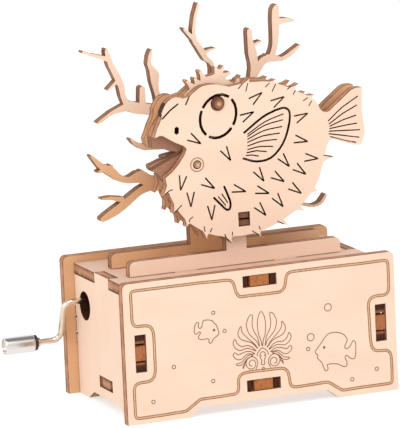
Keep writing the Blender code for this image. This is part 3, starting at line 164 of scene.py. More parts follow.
woodLook = {
    "pale": [(0.79, 0.59, 0.455), (0.78, 0.555, 0.425), (0.66, 0.435, 0.31)],
    # The rosy tone is painted shade that darkens the deck's top under the light from above
    "rosyShaded": [(0.72, 0.50, 0.385), (0.69, 0.465, 0.36), (0.58, 0.38, 0.28)],
    # The tan tone is painted shade, for plates that stand in shade
    "tan": [(0.66, 0.38, 0.205), (0.61, 0.34, 0.18), (0.49, 0.26, 0.13)],
    # The amber colour is a painted fill light for the coral's rail and post where the fish shades them
    # The inside colour is a painted shade for the faces turned into the box
    "amberFill": (0.82, 0.48, 0.25), "inside": (0.20, 0.075, 0.03),
    "edge": (0.38, 0.165, 0.085), "edgeLight": (0.54, 0.28, 0.155), "edgeDark": (0.09, 0.032, 0.014),
    # The first colour on the next line is a near-black painted shade for the walls of narrow cuts and of the
    # crank's hole
    "recessShade": (0.055, 0.018, 0.008), "burnt": (0.43, 0.225, 0.145), "burntDark": (0.14, 0.055, 0.03),
}


# Noise scales per millimetre along the grain, across it and into the sheet
grainLook = {
    "broad": (0.02, 0.06, 0.02), "fibre": (0.06, 1.9, 0.05), "pores": (0.45, 6.5, 0.3),
    "fibreShare": 0.30, "poreShare": 0.20, "stroke": 2.6, "scorch": 0.22,
    "middlePly": 2.0, "plyShare": 0.5, "rimFrom": 1.25, "rimFull": 1.9, "rimShare": 0.85, "hiddenShadeShare": 0.85,
}


def plywood(name, plate):
    # Face or edge is told by the normal along the sheet's thickness; the depth into the sheet
    # picks the ply; grain is noise drawn out along one axis
    finish = Finish(name, roughness=0.66, Specular_IOR_Level=0.15)
    spot = finish.place()
    axis = plate["axis"]
    grain = plate["grain"]
    drift = plate["drift"]
    light, warm, streak = woodLook[plate["tone"]]
    along = spot[grain]
    across = spot[3 - axis - grain]
    depth = spot[axis] - plate["start"]
    wide, high, deep = grainLook["broad"]
    broad = finish.noise(along * wide + drift, across * high, depth * deep + drift, detail=2.0)
    wide, high, deep = grainLook["fibre"]
    fibre = finish.noise(along * wide + drift, across * high, depth * deep, detail=4.0, roughness=0.6)
    wide, high, deep = grainLook["pores"]
    pores = finish.noise(along * wide, across * high + drift, depth * deep, detail=2.0)
    face = finish.mix(broad.spread(0.35, 0.68), light, warm)
    face = finish.mix(fibre.spread(0.52, 0.80) * grainLook["fibreShare"], face, streak)
    face = finish.mix(pores.spread(0.66, 0.80) * grainLook["poreShare"], face, streak)
    scale = grainLook["stroke"]
    stroke = finish.noise(spot[0] * scale + drift, spot[1] * scale, spot[2] * scale, detail=3.0)
    scale = grainLook["scorch"]
    scorch = finish.noise(spot[0] * scale, spot[1] * scale + drift, spot[2] * scale, detail=2.0)
    edge = finish.mix(stroke.spread(0.30, 0.62), woodLook["edgeDark"], woodLook["edge"])
    edge = finish.mix(scorch.spread(0.38, 0.66) * 0.7, edge, woodLook["edgeLight"])
    core = abs(depth - grainLook["middlePly"])
    inner = 1.0 - core.spread(0.45, 0.95)
    edge = finish.mix(inner * grainLook["plyShare"], edge, woodLook["edgeLight"])
    rim = core.spread(grainLook["rimFrom"], grainLook["rimFull"])
    edge = finish.mix(rim * grainLook["rimShare"], edge, woodLook["edgeDark"])
    if "innerFrom" in plate:
        # The face turned into the box is seen only through openings, so it is painted deep brown as painted
        # shade
        hiddenShade = (depth * plate["inward"]).above(plate["innerFrom"])
        face = finish.mix(hiddenShade * grainLook["hiddenShadeShare"], face, woodLook["inside"])
    if "extra" in plate:
        face, edge = plate["extra"](finish, spot, face, edge)
    square = finish.facing(axis).above(0.5)
    finish.set("Base Color", finish.mix(square, edge, face))
    relief = fibre * square + stroke * (1.0 - square)
    finish.bump(relief, 0.25, 0.00008)
    return finish.material


def oval(spot, centre, radii):
    # Distance from a centre in the plate's plane, 1 on the oval with these radii
    x = (spot[0] - centre[0]) / radii[0]
    z = (spot[2] - centre[1]) / radii[1]
    return (x * x + z * z).root()


coralLook = {"shadedTo": 84.0, "paleFrom": 122.0, "railCentre": (13.4, 63.0), "railRadii": (20.0, 24.0)}


def coralShade(finish, spot, face, edge):
    # Painted shade: the lower and nearer branches are darkened to the tan shade colour, the tips stay pale;
    # the rail and post behind the fish get a brighter amber as painted fill light
    shadeWobble = finish.noise(spot[0] * 0.05, spot[1] * 0.05, spot[2] * 0.05, detail=2.0)
    height = spot[2] + spot[0] * 0.55 + shadeWobble * 26.0
    # The lower, nearer branches get the tan painted shade
    low = 1.0 - height.spread(coralLook["shadedTo"], coralLook["paleFrom"])
    face = finish.mix(low, face, woodLook["tan"][0])
    # A painted fill light: the rail and post behind the fish are brightened to amber
    railFill = 1.0 - oval(spot, coralLook["railCentre"], coralLook["railRadii"]).spread(0.8, 1.1)
    face = finish.mix(railFill * 0.9, face, woodLook["amberFill"])
    edge = finish.mix(0.45, edge, woodLook["edgeDark"])
    return face, edge


mouthLook = {
    "middleZ": 99.8, "cornerX": -7.1, "slope": 0.43, "centre": (-13.6, 98.2), "radii": (10.0, 10.5),
    "waves": 8.4, "wobble": 11.0, "waveShare": 0.72, "fineShare": 0.5, "throatShare": 0.8,
}


def mouthBurn(finish, spot, face, edge):
    # Inside the mouth the beam has browned the face in wavy streaks that follow both lips
    tall = abs(spot[2] - mouthLook["middleZ"])
    inward = (spot[0] - mouthLook["cornerX"]) * mouthLook["slope"]
    along = tall + inward
    wobble = finish.noise(spot[0] * 0.22, spot[1] * 0.1, spot[2] * 0.22, detail=3.0)
    wave = (along * mouthLook["waves"] + wobble * mouthLook["wobble"]).wave() * 0.5 + 0.5
    fine = finish.noise(spot[0] * 0.8, spot[1], along * 3.5, detail=3.0)
    dark = woodLook["burntDark"]
    burnt = finish.mix(wave.spread(0.62, 0.98) * mouthLook["waveShare"], woodLook["burnt"], dark)
    burnt = finish.mix(fine.spread(0.52, 0.75) * mouthLook["fineShare"], burnt, dark)
    lowerLip = 1.0 - spot[2].above(mouthLook["middleZ"])
    throat = (1.0 - abs(along - 0.5).spread(0.5, 1.0)) * lowerLip
    burnt = finish.mix(throat * mouthLook["throatShare"], burnt, dark)
    mouth = 1.0 - oval(spot, mouthLook["centre"], mouthLook["radii"]).spread(0.93, 1.03)
    crest = 1.0 - mouth
    return finish.mix(crest, burnt, face), finish.mix(crest * 0.6 + 0.4, dark, edge)


# Ovals that hold cut lines and none of the outline, each as its centre and its radii
cutOvals = {
    "body": ((17.4, 93.2), (26.5, 23.5)), "eye": ((7.0, 112.1), (9.6, 9.6)),
    "tail": ((61.0, 104.5), (8.0, 8.0)), "snout": ((-10.5, 109.5), (4.2, 5.5)),
    "brow": ((-12.8, 116.0), (4.4, 3.4)),
}
mouthCorner = ((-8.0, 98.8), (4.0, 4.0))


def bodyCuts(finish, spot, face, edge):
    # The walls of the cut lines are painted near black as painted shade; the outline's edge is only browned
    nearest = oval(spot, *cutOvals["body"])
    for key in ("eye", "tail", "snout", "brow"):
        nearest = nearest.least(oval(spot, *cutOvals[key]))
    corner = 1.0 - oval(spot, *mouthCorner).spread(0.95, 1.05)
    outside = nearest.spread(0.99, 1.02).most(corner)
    return face, finish.mix(outside, woodLook["recessShade"], edge)


tenonLook = {
    # The outer colour is the painted shade of the recessed outer prongs
    "outer": (0.06, 0.018, 0.008), "streak": (0.09, 0.03, 0.014), "inSlotFrom": 30.3,
    "side": {"axis": 2, "middle": 27.5, "reach": 7.0, "light": (0.36, 0.13, 0.05)},
    "deck": {"axis": 0, "middle": 13.375, "reach": 6.7, "light": (0.40, 0.135, 0.042)},
    "peg": {"axis": 2, "middle": 70.85, "reach": 2.4, "light": (0.36, 0.13, 0.05)},
}


def slotEnds(finish, spot, face, edge, tenon):
    # The tenon's ends in the front and rear slots: the recessed outer prongs are painted dark as painted
    # shade, lightest in the middle
    away = abs(spot[tenon["axis"]] - tenon["middle"])
    deep = 1.0 - away.spread(tenon["reach"] * 0.55, tenon["reach"] * 0.75)
    ends = finish.mix(deep, tenonLook["outer"], tenon["light"])
    streaks = finish.noise(spot[0] * 1.2, spot[1] * 0.4, spot[2] * 1.2, detail=3.0)
    ends = finish.mix(streaks.spread(0.5, 0.7) * 0.5, ends, tenonLook["streak"])
    inSlot = abs(spot[1]).above(tenonLook["inSlotFrom"])
    return face, finish.mix(inSlot, edge, ends)


crankHole = {"y": 19.65, "z": 36.8, "recessShadeTo": 7.0, "cleanFrom": 7.5}


def sideEnds(finish, spot, face, edge):
    # The wall of the crank's hole is painted near black as painted shade as well
    face, edge = slotEnds(finish, spot, face, edge, tenonLook["side"])
    y = spot[1] - crankHole["y"]
    z = spot[2] - crankHole["z"]
    clean = (y * y + z * z).root().spread(crankHole["recessShadeTo"], crankHole["cleanFrom"])
    return face, finish.mix(clean, woodLook["recessShade"], edge)


def deckEnds(finish, spot, face, edge):
    return slotEnds(finish, spot, face, edge, tenonLook["deck"])


def pegEnds(finish, spot, face, edge):
    face, edge = slotEnds(finish, spot, face, edge, tenonLook["peg"])
    return face, finish.mix(0.85, edge, woodLook["burntDark"])


def polished(name, colour, roughness, fine, axis, stretch):
    # Metal whose sheen varies along faint lines that run round it
    finish = Finish(name, metallic=1.0)
    spot = finish.place()
    spot[axis] = spot[axis] * stretch
    brushed = finish.noise(spot[0], spot[1], spot[2], scale=fine, detail=3.0)
    stain = finish.noise(spot[0] * 0.3, spot[1] * 0.3, spot[2] * 0.3, scale=0.6, detail=2.0)
    finish.set("Roughness", brushed * 0.10 + stain * 0.06 + roughness)
    darker = tuple(part * 0.86 for part in colour)
    finish.set("Base Color", finish.mix(stain.spread(0.35, 0.7), colour, darker))
    finish.bump(brushed, 0.06, 0.00002)
    return finish.material


def castMetal(name):
    finish = Finish(name, roughness=0.5, metallic=1.0)
    spot = finish.place()
    skin = finish.noise(spot[0], spot[1], spot[2], scale=1.6, detail=5.0)
    finish.set("Base Color", finish.mix(skin.spread(0.3, 0.7), (0.40, 0.40, 0.41), (0.58, 0.58, 0.59)))
    finish.bump(skin, 0.3, 0.00008)
    return finish.material


def blackRubber(name):
    finish = Finish(name, roughness=0.45)
    spot = finish.place()
    skin = finish.noise(spot[0], spot[1], spot[2], scale=3.0, detail=3.0)
    finish.set("Base Color", finish.mix(skin, (0.012, 0.011, 0.011), (0.03, 0.028, 0.027)))
    finish.bump(skin, 0.15, 0.00005)
    return finish.material


def dowelWood(name, centre, size):
    # End grain: rings about a point beside the dowel's middle, browned at the rim
    finish = Finish(name, roughness=0.6, Specular_IOR_Level=0.3)
    spot = finish.place()
    x = spot[0] - centre[0]
    z = spot[2] - centre[1]
    radius = (x * x + z * z).root()
    wobble = finish.noise(spot[0], spot[1] * 0.2, spot[2], scale=0.9, detail=3.0)
    rings = (radius * (6.283 / size["rings"]) + wobble * 5.0).wave() * 0.5 + 0.5
    dark, middle, bright = size["colours"]
    colour = finish.mix(rings * 0.45, middle, dark)
    colour = finish.mix(1.0 - radius.spread(0.1, size["radius"] * 0.5), colour, bright)
    colour = finish.mix(radius.spread(size["radius"] * 0.66, size["radius"] * 0.78), colour, dark)
    square = finish.facing(1).above(0.5)
    colour = finish.mix(square, dark, colour)
    finish.set("Base Color", colour)
    finish.bump(rings, 0.2, 0.00006)
    return finish.material


def scorchedLine(name, pale, dark):
    # A laser line: darker where the beam dwelt
    finish = Finish(name, roughness=0.75, Specular_IOR_Level=0.2)
    spot = finish.place()
    dwell = finish.noise(spot[0], spot[1], spot[2], scale=1.3, detail=4.0)
    finish.set("Base Color", finish.mix(dwell.spread(0.3, 0.72), dark, pale))
    finish.bump(dwell, 0.2, 0.00004)
    return finish.material


def dress(name, material):
    node = nodes[name]
    node.data.materials.clear()
    node.data.materials.append(material)


print("plywood plates")
# The tan tone on the rear panel, bottom panel, fish rear plate and cross peg is painted shade
plates = {
    "front_panel": {"axis": 1, "start": -34.15, "grain": 0, "drift": 0.0, "tone": "pale",
                    "inward": 1.0, "innerFrom": 3.5},
    "rear_panel": {"axis": 1, "start": 30.15, "grain": 0, "drift": 17.0, "tone": "tan"},
    "left_side_panel": {"axis": 0, "start": -38.725, "grain": 2, "drift": 31.0, "tone": "pale",
                        "extra": sideEnds, "inward": 1.0, "innerFrom": 3.5},
    "right_side_panel": {"axis": 0, "start": 61.475, "grain": 2, "drift": 43.0, "tone": "pale",
                         "extra": sideEnds, "inward": -1.0, "innerFrom": -0.5},
    # The rosy tone darkens the deck's top as painted shade
    "top_deck": {"axis": 2, "start": 48.2, "grain": 0, "drift": 5.0, "tone": "rosyShaded", "extra": deckEnds},
    "bottom_panel": {"axis": 2, "start": 7.25, "grain": 0, "drift": 61.0, "tone": "tan", "extra": deckEnds},
    "fish_front_plate": {"axis": 1, "start": -15.15, "grain": 0, "drift": 11.0, "tone": "pale",
                         "extra": bodyCuts},
    "fish_core_plate": {"axis": 1, "start": -10.85, "grain": 0, "drift": 23.0, "tone": "pale",
                        "extra": mouthBurn},
    "fish_rear_plate": {"axis": 1, "start": -6.55, "grain": 0, "drift": 37.0, "tone": "tan"},
    "coral_plate": {"axis": 1, "start": 8.75, "grain": 2, "drift": 53.0, "tone": "pale", "extra": coralShade},
    "cross_peg": {"axis": 0, "start": 13.825, "grain": 1, "drift": 71.0, "tone": "tan", "extra": pegEnds},
}
for name, plate in plates.items():
    dress(name, plywood(name + "_wood", plate))

print("movement")
brass = polished("movement_brass", (0.80, 0.58, 0.26), 0.22, 2.0, 1, 0.1)
steel = polished("movement_steel", (0.66, 0.65, 0.64), 0.20, 2.0, 0, 0.1)
for name in ("pin_cylinder", "worm_wheel", "shaft_collar"):
    dress(name, brass)
screws = ["comb_screw_1", "comb_screw_2", "base_screw_1", "base_screw_2", "base_screw_3", "base_screw_4"]
for name in ["worm", "cylinder_arbor", "comb"] + screws:
    dress(name, steel)
dress("movement_base", castMetal("movement_casting"))


# Surfaces worked out as whole arrays

def newPiece(name, points, faces, material, body, smooth=True):
    mesh = bpy.data.meshes.new(name)
    mesh.from_pydata((points * mm).tolist(), [], faces)
    mesh.materials.append(material)
    piece = bpy.data.objects.new(name, mesh)
    bpy.context.scene.collection.objects.link(piece)
    if smooth:
        mesh.shade_smooth()
        mesh.set_sharp_from_angle(angle=math.radians(creaseDegrees))
    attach(piece, body)
    return piece


def gridFaces(rows, columns, closedRows=False):
    # Quads between neighbouring rows; columns close on themselves
    row = np.arange(rows if closedRows else rows - 1)[:, None]
    column = np.arange(columns)[None, :]
    onward = (column + 1) % columns
    below = (row + 1) % rows
    quads = np.stack([row * columns + column, row * columns + onward,
                      below * columns + onward, below * columns + column], axis=-1)
    return quads.reshape(-1, 4).tolist()


def turnedPoints(profile, centre, axis, steps):
    # Each profile point (along, radius) swept round an axis through the centre
    along, radius = np.array(profile).T
    angle = np.linspace(0, 2 * np.pi, steps, endpoint=False)
    first = radius[:, None] * np.cos(angle)
    second = radius[:, None] * np.sin(angle)
    flat = np.repeat(along[:, None], steps, axis=1)
    points = np.zeros((len(along), steps, 3))
    points[..., axis] = flat
    points[..., (axis + 1) % 3] = centre[0] + first
    points[..., (axis + 2) % 3] = centre[1] + second
    return points.reshape(-1, 3)


def roundedProfile(points, radius, steps=5):
    # Every corner but the ends is swapped for a quadratic curve between points near it
    points = np.array(points, float)
    before, corner, after = points[:-2], points[1:-1], points[2:]
    back = before - corner
    onward = after - corner
    reachBack = np.minimum(radius, 0.45 * np.linalg.norm(back, axis=1))[:, None]
    reachOn = np.minimum(radius, 0.45 * np.linalg.norm(onward, axis=1))[:, None]
    start = corner + back / np.linalg.norm(back, axis=1)[:, None] * reachBack
    end = corner + onward / np.linalg.norm(onward, axis=1)[:, None] * reachOn
    t = np.linspace(0, 1, steps)[None, :, None]
    curve = (1 - t) ** 2 * start[:, None] + 2 * t * (1 - t) * corner[:, None] + t ** 2 * end[:, None]
    return np.vstack([points[:1], curve.reshape(-1, 2), points[-1:]])


print("crank")
crank = {
    "axisY": 22.35, "axisZ": 38.4, "rodRadius": 1.2, "bendRadius": 3.4, "innerX": -2.125,
    "armX": -46.475, "armRearward": 6.5, "armDownward": 15.8, "knobInner": -57.675, "knobOuter": -69.875,
    "knobRadius": 3.5, "recessRadius": 2.9, "recessDepth": 1.0, "ringLength": 1.0, "ringRadius": 3.1,
    "collarRadius": 2.0, "collarLength": 1.0, "rivetRadius": 1.9, "sides": 40, "gap": 0.3,
    "bendSteps": 14, "bevel": 0.15, "bevelShare": 0.93, "headBack": 0.55, "headLength": 0.5, "headBevel": 0.1,
    "domeShare": 0.8, "tipRadius": 0.01, "innerShare": 0.75, "innerBevel": 0.3, "bore": 1.25,
    "knobBevel": 0.2, "knobBevelLength": 0.3, "knobSides": 96, "ringBevel": 0.3, "ringSides": 64,
    "ringClosing": 0.4,
}


def crankRod(size):
    # The path lies in one plane: along X, down the arm, along X again, with round bends; every
    # ring stands square to it, its two directions being the plane's normal and that crossed in
    arm = np.array([0, size["armRearward"], -size["armDownward"]])
    length = np.linalg.norm(arm)
    down = arm / length
    bend = size["bendRadius"]
    t = np.linspace(0, np.pi / 2, size["bendSteps"])
    tip = size["knobOuter"] + size["recessDepth"] - size["gap"]
    collar = size["knobInner"] + size["ringLength"] + 2 * size["gap"]
    firstX = size["armX"] + bend - bend * np.sin(t)
    firstD = bend - bend * np.cos(t)
    secondX = size["armX"] - bend + bend * np.cos(t)
    secondD = length - bend + bend * np.sin(t)
    collarEnd = collar + size["collarLength"]
    bevel = size["bevel"]
    lengthwise = np.array([
        collarEnd + bevel, collarEnd, collarEnd - bevel, collar + bevel, collar, collar,
        tip + size["headBack"], tip + size["headLength"], tip + size["headBevel"], tip, tip,
    ])
    innerEnd = [size["innerX"], size["innerX"] - size["innerBevel"]]
    x = np.concatenate([innerEnd, firstX, secondX, lengthwise])
    d = np.concatenate([[0, 0], firstD, secondD, np.full(len(lengthwise), length)])
    rod = size["rodRadius"]
    wide = size["collarRadius"]
    head = size["rivetRadius"]
    shoulder = wide * size["bevelShare"]
    radius = np.concatenate([
        [rod * size["innerShare"], rod], np.full(len(t) * 2, rod),
        [rod, shoulder, wide, wide, shoulder, rod, rod],
        [head, head, head * size["domeShare"], size["tipRadius"]],
    ])
    turn = np.concatenate([[0, 0], t, np.pi / 2 - t, np.zeros(len(lengthwise))])
    angle = np.linspace(0, 2 * np.pi, size["sides"], endpoint=False)
    side = np.cross([1, 0, 0], down)
    # Square to the path within its plane
    inPlane = np.cos(turn)[:, None] * down + np.sin(turn)[:, None] * np.array([1, 0, 0])
    centre = np.array([0, size["axisY"], size["axisZ"]]) + np.outer(x, [1, 0, 0]) + np.outer(d, down)
    ring = np.cos(angle)[None, :, None] * side + np.sin(angle)[None, :, None] * inPlane[:, None]
    points = (centre[:, None] + radius[:, None, None] * ring).reshape(-1, 3)
    faces = gridFaces(len(x), size["sides"])
    faces.append(list(range(size["sides"]))[::-1])
    faces.append([len(points) - size["sides"] + k for k in range(size["sides"])])
    return points, faces


# The rod's steel is tinted warm tan as a painted reflection of the wooden panels around it
reflectionTintedSteel = polished("rod_steel_warm_reflection", (0.78, 0.67, 0.55), 0.10, 1.2, 0, 0.05)
rodPoints, rodFaces = crankRod(crank)
rod = newPiece("crank_rod_fine", rodPoints, rodFaces, reflectionTintedSteel, "crank")
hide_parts("crank_rod")

knobCentre = (crank["axisY"] + crank["armRearward"], crank["axisZ"] - crank["armDownward"])
outer = crank["knobOuter"]
inner = crank["knobInner"]
wide = crank["knobRadius"]
narrow = wide - crank["knobBevel"]
bore = crank["bore"]
bevelLength = crank["knobBevelLength"]
knobProfile = roundedProfile([
    (outer + crank["recessDepth"], bore), (outer + crank["recessDepth"], crank["recessRadius"]),
    (outer, crank["recessRadius"]), (outer, narrow), (outer + bevelLength, wide), ((outer + inner) / 2, wide),
    (inner - bevelLength, wide), (inner, narrow), (inner, bore),
], crank["knobBevel"])
chrome = polished("knob_chrome", (0.80, 0.77, 0.75), 0.10, 1.2, 0, 0.05)
knobPoints = turnedPoints(knobProfile, knobCentre, 0, crank["knobSides"])
knobFaces = gridFaces(len(knobProfile), crank["knobSides"], closedRows=True)
knob = newPiece("crank_knob_fine", knobPoints, knobFaces, chrome, "knob")
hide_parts("crank_knob")

ringStart = inner + crank["gap"]
ringEnd = ringStart + crank["ringLength"]
# The last point only turns the closing corner and is dropped
ringProfile = roundedProfile([
    (ringEnd, bore), (ringStart, bore), (ringStart, crank["ringRadius"]),
    (ringEnd, crank["ringRadius"]), (ringEnd, bore), (ringStart + crank["ringClosing"], bore),
], crank["ringBevel"])[:-1]
ringPoints = turnedPoints(ringProfile, knobCentre, 0, crank["ringSides"])
ringFaces = gridFaces(len(ringProfile), crank["ringSides"], closedRows=True)
ringRubber = blackRubber("knob_ring_rubber")
ring = newPiece("knob_ring_fine", ringPoints, ringFaces, ringRubber, "knob")
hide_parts("knob_ring")

print("dowels")
dowelSteps = 48
dowelRounding = 0.4
dowelTip = 0.01
pith = (0.3, -0.2)
dowels = {
    "eye_dowel": {"x": -6.5, "z": 64.9, "radius": 2.6, "stand": 0.9, "rings": 0.8,
                  "colours": [(0.10, 0.035, 0.014), (0.27, 0.115, 0.05), (0.62, 0.33, 0.19)]},
    "mouth_dowel": {"x": -16.1, "z": 42.0, "radius": 1.45, "stand": 0.3, "rings": 0.6,
                    "colours": [(0.27, 0.15, 0.07), (0.50, 0.30, 0.155), (0.66, 0.44, 0.26)]},
}
for name, size in dowels.items():
    centre = (layout["middleX"] + size["x"], layout["deckZ"] + size["z"])
    front = layout["fishFrontY"] - size["stand"]
    back = layout["fishRearY"] + layout["ply"]
    profile = roundedProfile([
        (front, dowelTip), (front, size["radius"]), (back, size["radius"]), (back, dowelTip),
    ], dowelRounding)
    points = turnedPoints(profile, (centre[1], centre[0]), 1, dowelSteps)
    lastRing = len(points) - dowelSteps
    faces = gridFaces(len(profile), dowelSteps)
    faces += [list(range(dowelSteps))[::-1], [lastRing + k for k in range(dowelSteps)]]
    material = dowelWood(name + "_endgrain", (centre[0] + pith[0], centre[1] + pith[1]), size)
    dowel = newPiece(name + "_fine", points, faces, material, "box")
    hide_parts(name)


# Engraved lines: each is a band that follows a path just above the face it is burnt into

def smoothPath(points, closed=False, steps=8):
    # Catmull-Rom through all points: four weights of the neighbours for each share of a span
    points = np.array(points, float)
    if closed:
        padded = np.vstack([points[-1:], points, points[:2]])
    else:
        padded = np.vstack([2 * points[:1] - points[1:2], points, 2 * points[-1:] - points[-2:-1]])
    t = np.linspace(0, 1, steps, endpoint=False)[None, :, None]
    p0, p1, p2, p3 = (padded[k:len(padded) - 3 + k, None] for k in range(4))
    curve = 0.5 * (2 * p1 + (p2 - p0) * t + (2 * p0 - 5 * p1 + 4 * p2 - p3) * t ** 2
                   + (3 * p1 - p0 - 3 * p2 + p3) * t ** 3)
    curve = curve.reshape(-1, 2)
    return curve if closed else np.vstack([curve, points[-1:]])


def cornerPath(points, radius, steps=6):
    # A closed path whose corners are swapped for quadratic curves
    points = np.array(points, float)
    before = np.roll(points, 1, axis=0) - points
    after = np.roll(points, -1, axis=0) - points
    back = np.linalg.norm(before, axis=1)[:, None]
    onward = np.linalg.norm(after, axis=1)[:, None]
    start = points + before / back * np.minimum(radius, 0.45 * back)
    end = points + after / onward * np.minimum(radius, 0.45 * onward)
    t = np.linspace(0, 1, steps)[None, :, None]
    curve = (1 - t) ** 2 * start[:, None] + 2 * t * (1 - t) * points[:, None] + t ** 2 * end[:, None]
    return curve.reshape(-1, 2)


def sidePath(path, offset):
    # A closed path moved sideways along its normals
    ahead = np.roll(path, -1, axis=0) - np.roll(path, 1, axis=0)
    ahead /= np.linalg.norm(ahead, axis=1)[:, None]
    return path + offset * np.stack([-ahead[:, 1], ahead[:, 0]], axis=1)


def circlePath(centre, radius, steps=20):
    angle = np.linspace(0, 2 * np.pi, steps, endpoint=False)
    return np.array(centre) + radius * np.stack([np.cos(angle), np.sin(angle)], axis=1)


band = {"proud": 0.015, "sunk": 0.06}


def bandMesh(path, width, closed):
    # Four points stand round each path point: two on the face, two sunk in it
    if closed:
        ahead = np.roll(path, -1, axis=0) - np.roll(path, 1, axis=0)
    else:
        ahead = np.gradient(path, axis=0)
    ahead /= np.maximum(np.linalg.norm(ahead, axis=1), 1e-9)[:, None]
    normal = np.stack([-ahead[:, 1], ahead[:, 0]], axis=1) * width / 2
    corners = np.stack([path + normal, path - normal, path - normal, path + normal], axis=1)
    section = [band["proud"], band["proud"], -band["sunk"], -band["sunk"]]
    height = np.tile(section, (len(path), 1))
    points = np.concatenate([corners, height[..., None]], axis=2).reshape(-1, 3)
    faces = gridFaces(len(path), 4, closedRows=closed)
    if not closed:
        last = 4 * (len(path) - 1)
        faces += [[3, 2, 1, 0], [last, last + 1, last + 2, last + 3]]
    return points, faces


def engraving(name, lines, face, material):
    # Lines hold (path, width, closed); the face is given by its Y in the frame
    allPoints = []
    allFaces = []
    count = 0
    for path, width, closed in lines:
        points, faces = bandMesh(np.array(path, float), width, closed)
        allPoints.append(points)
        allFaces.extend([[k + count for k in quad] for quad in faces])
        count += len(points)
    flat = np.vstack(allPoints)
    points = np.stack([flat[:, 0] + layout["middleX"], face - flat[:, 2], flat[:, 1]], axis=1)
    newPiece(name, points, allFaces, material, "box", smooth=False)


print("front panel engraving")
borderBurn = scorchedLine("border_burn", (0.36, 0.165, 0.075), (0.22, 0.09, 0.04))
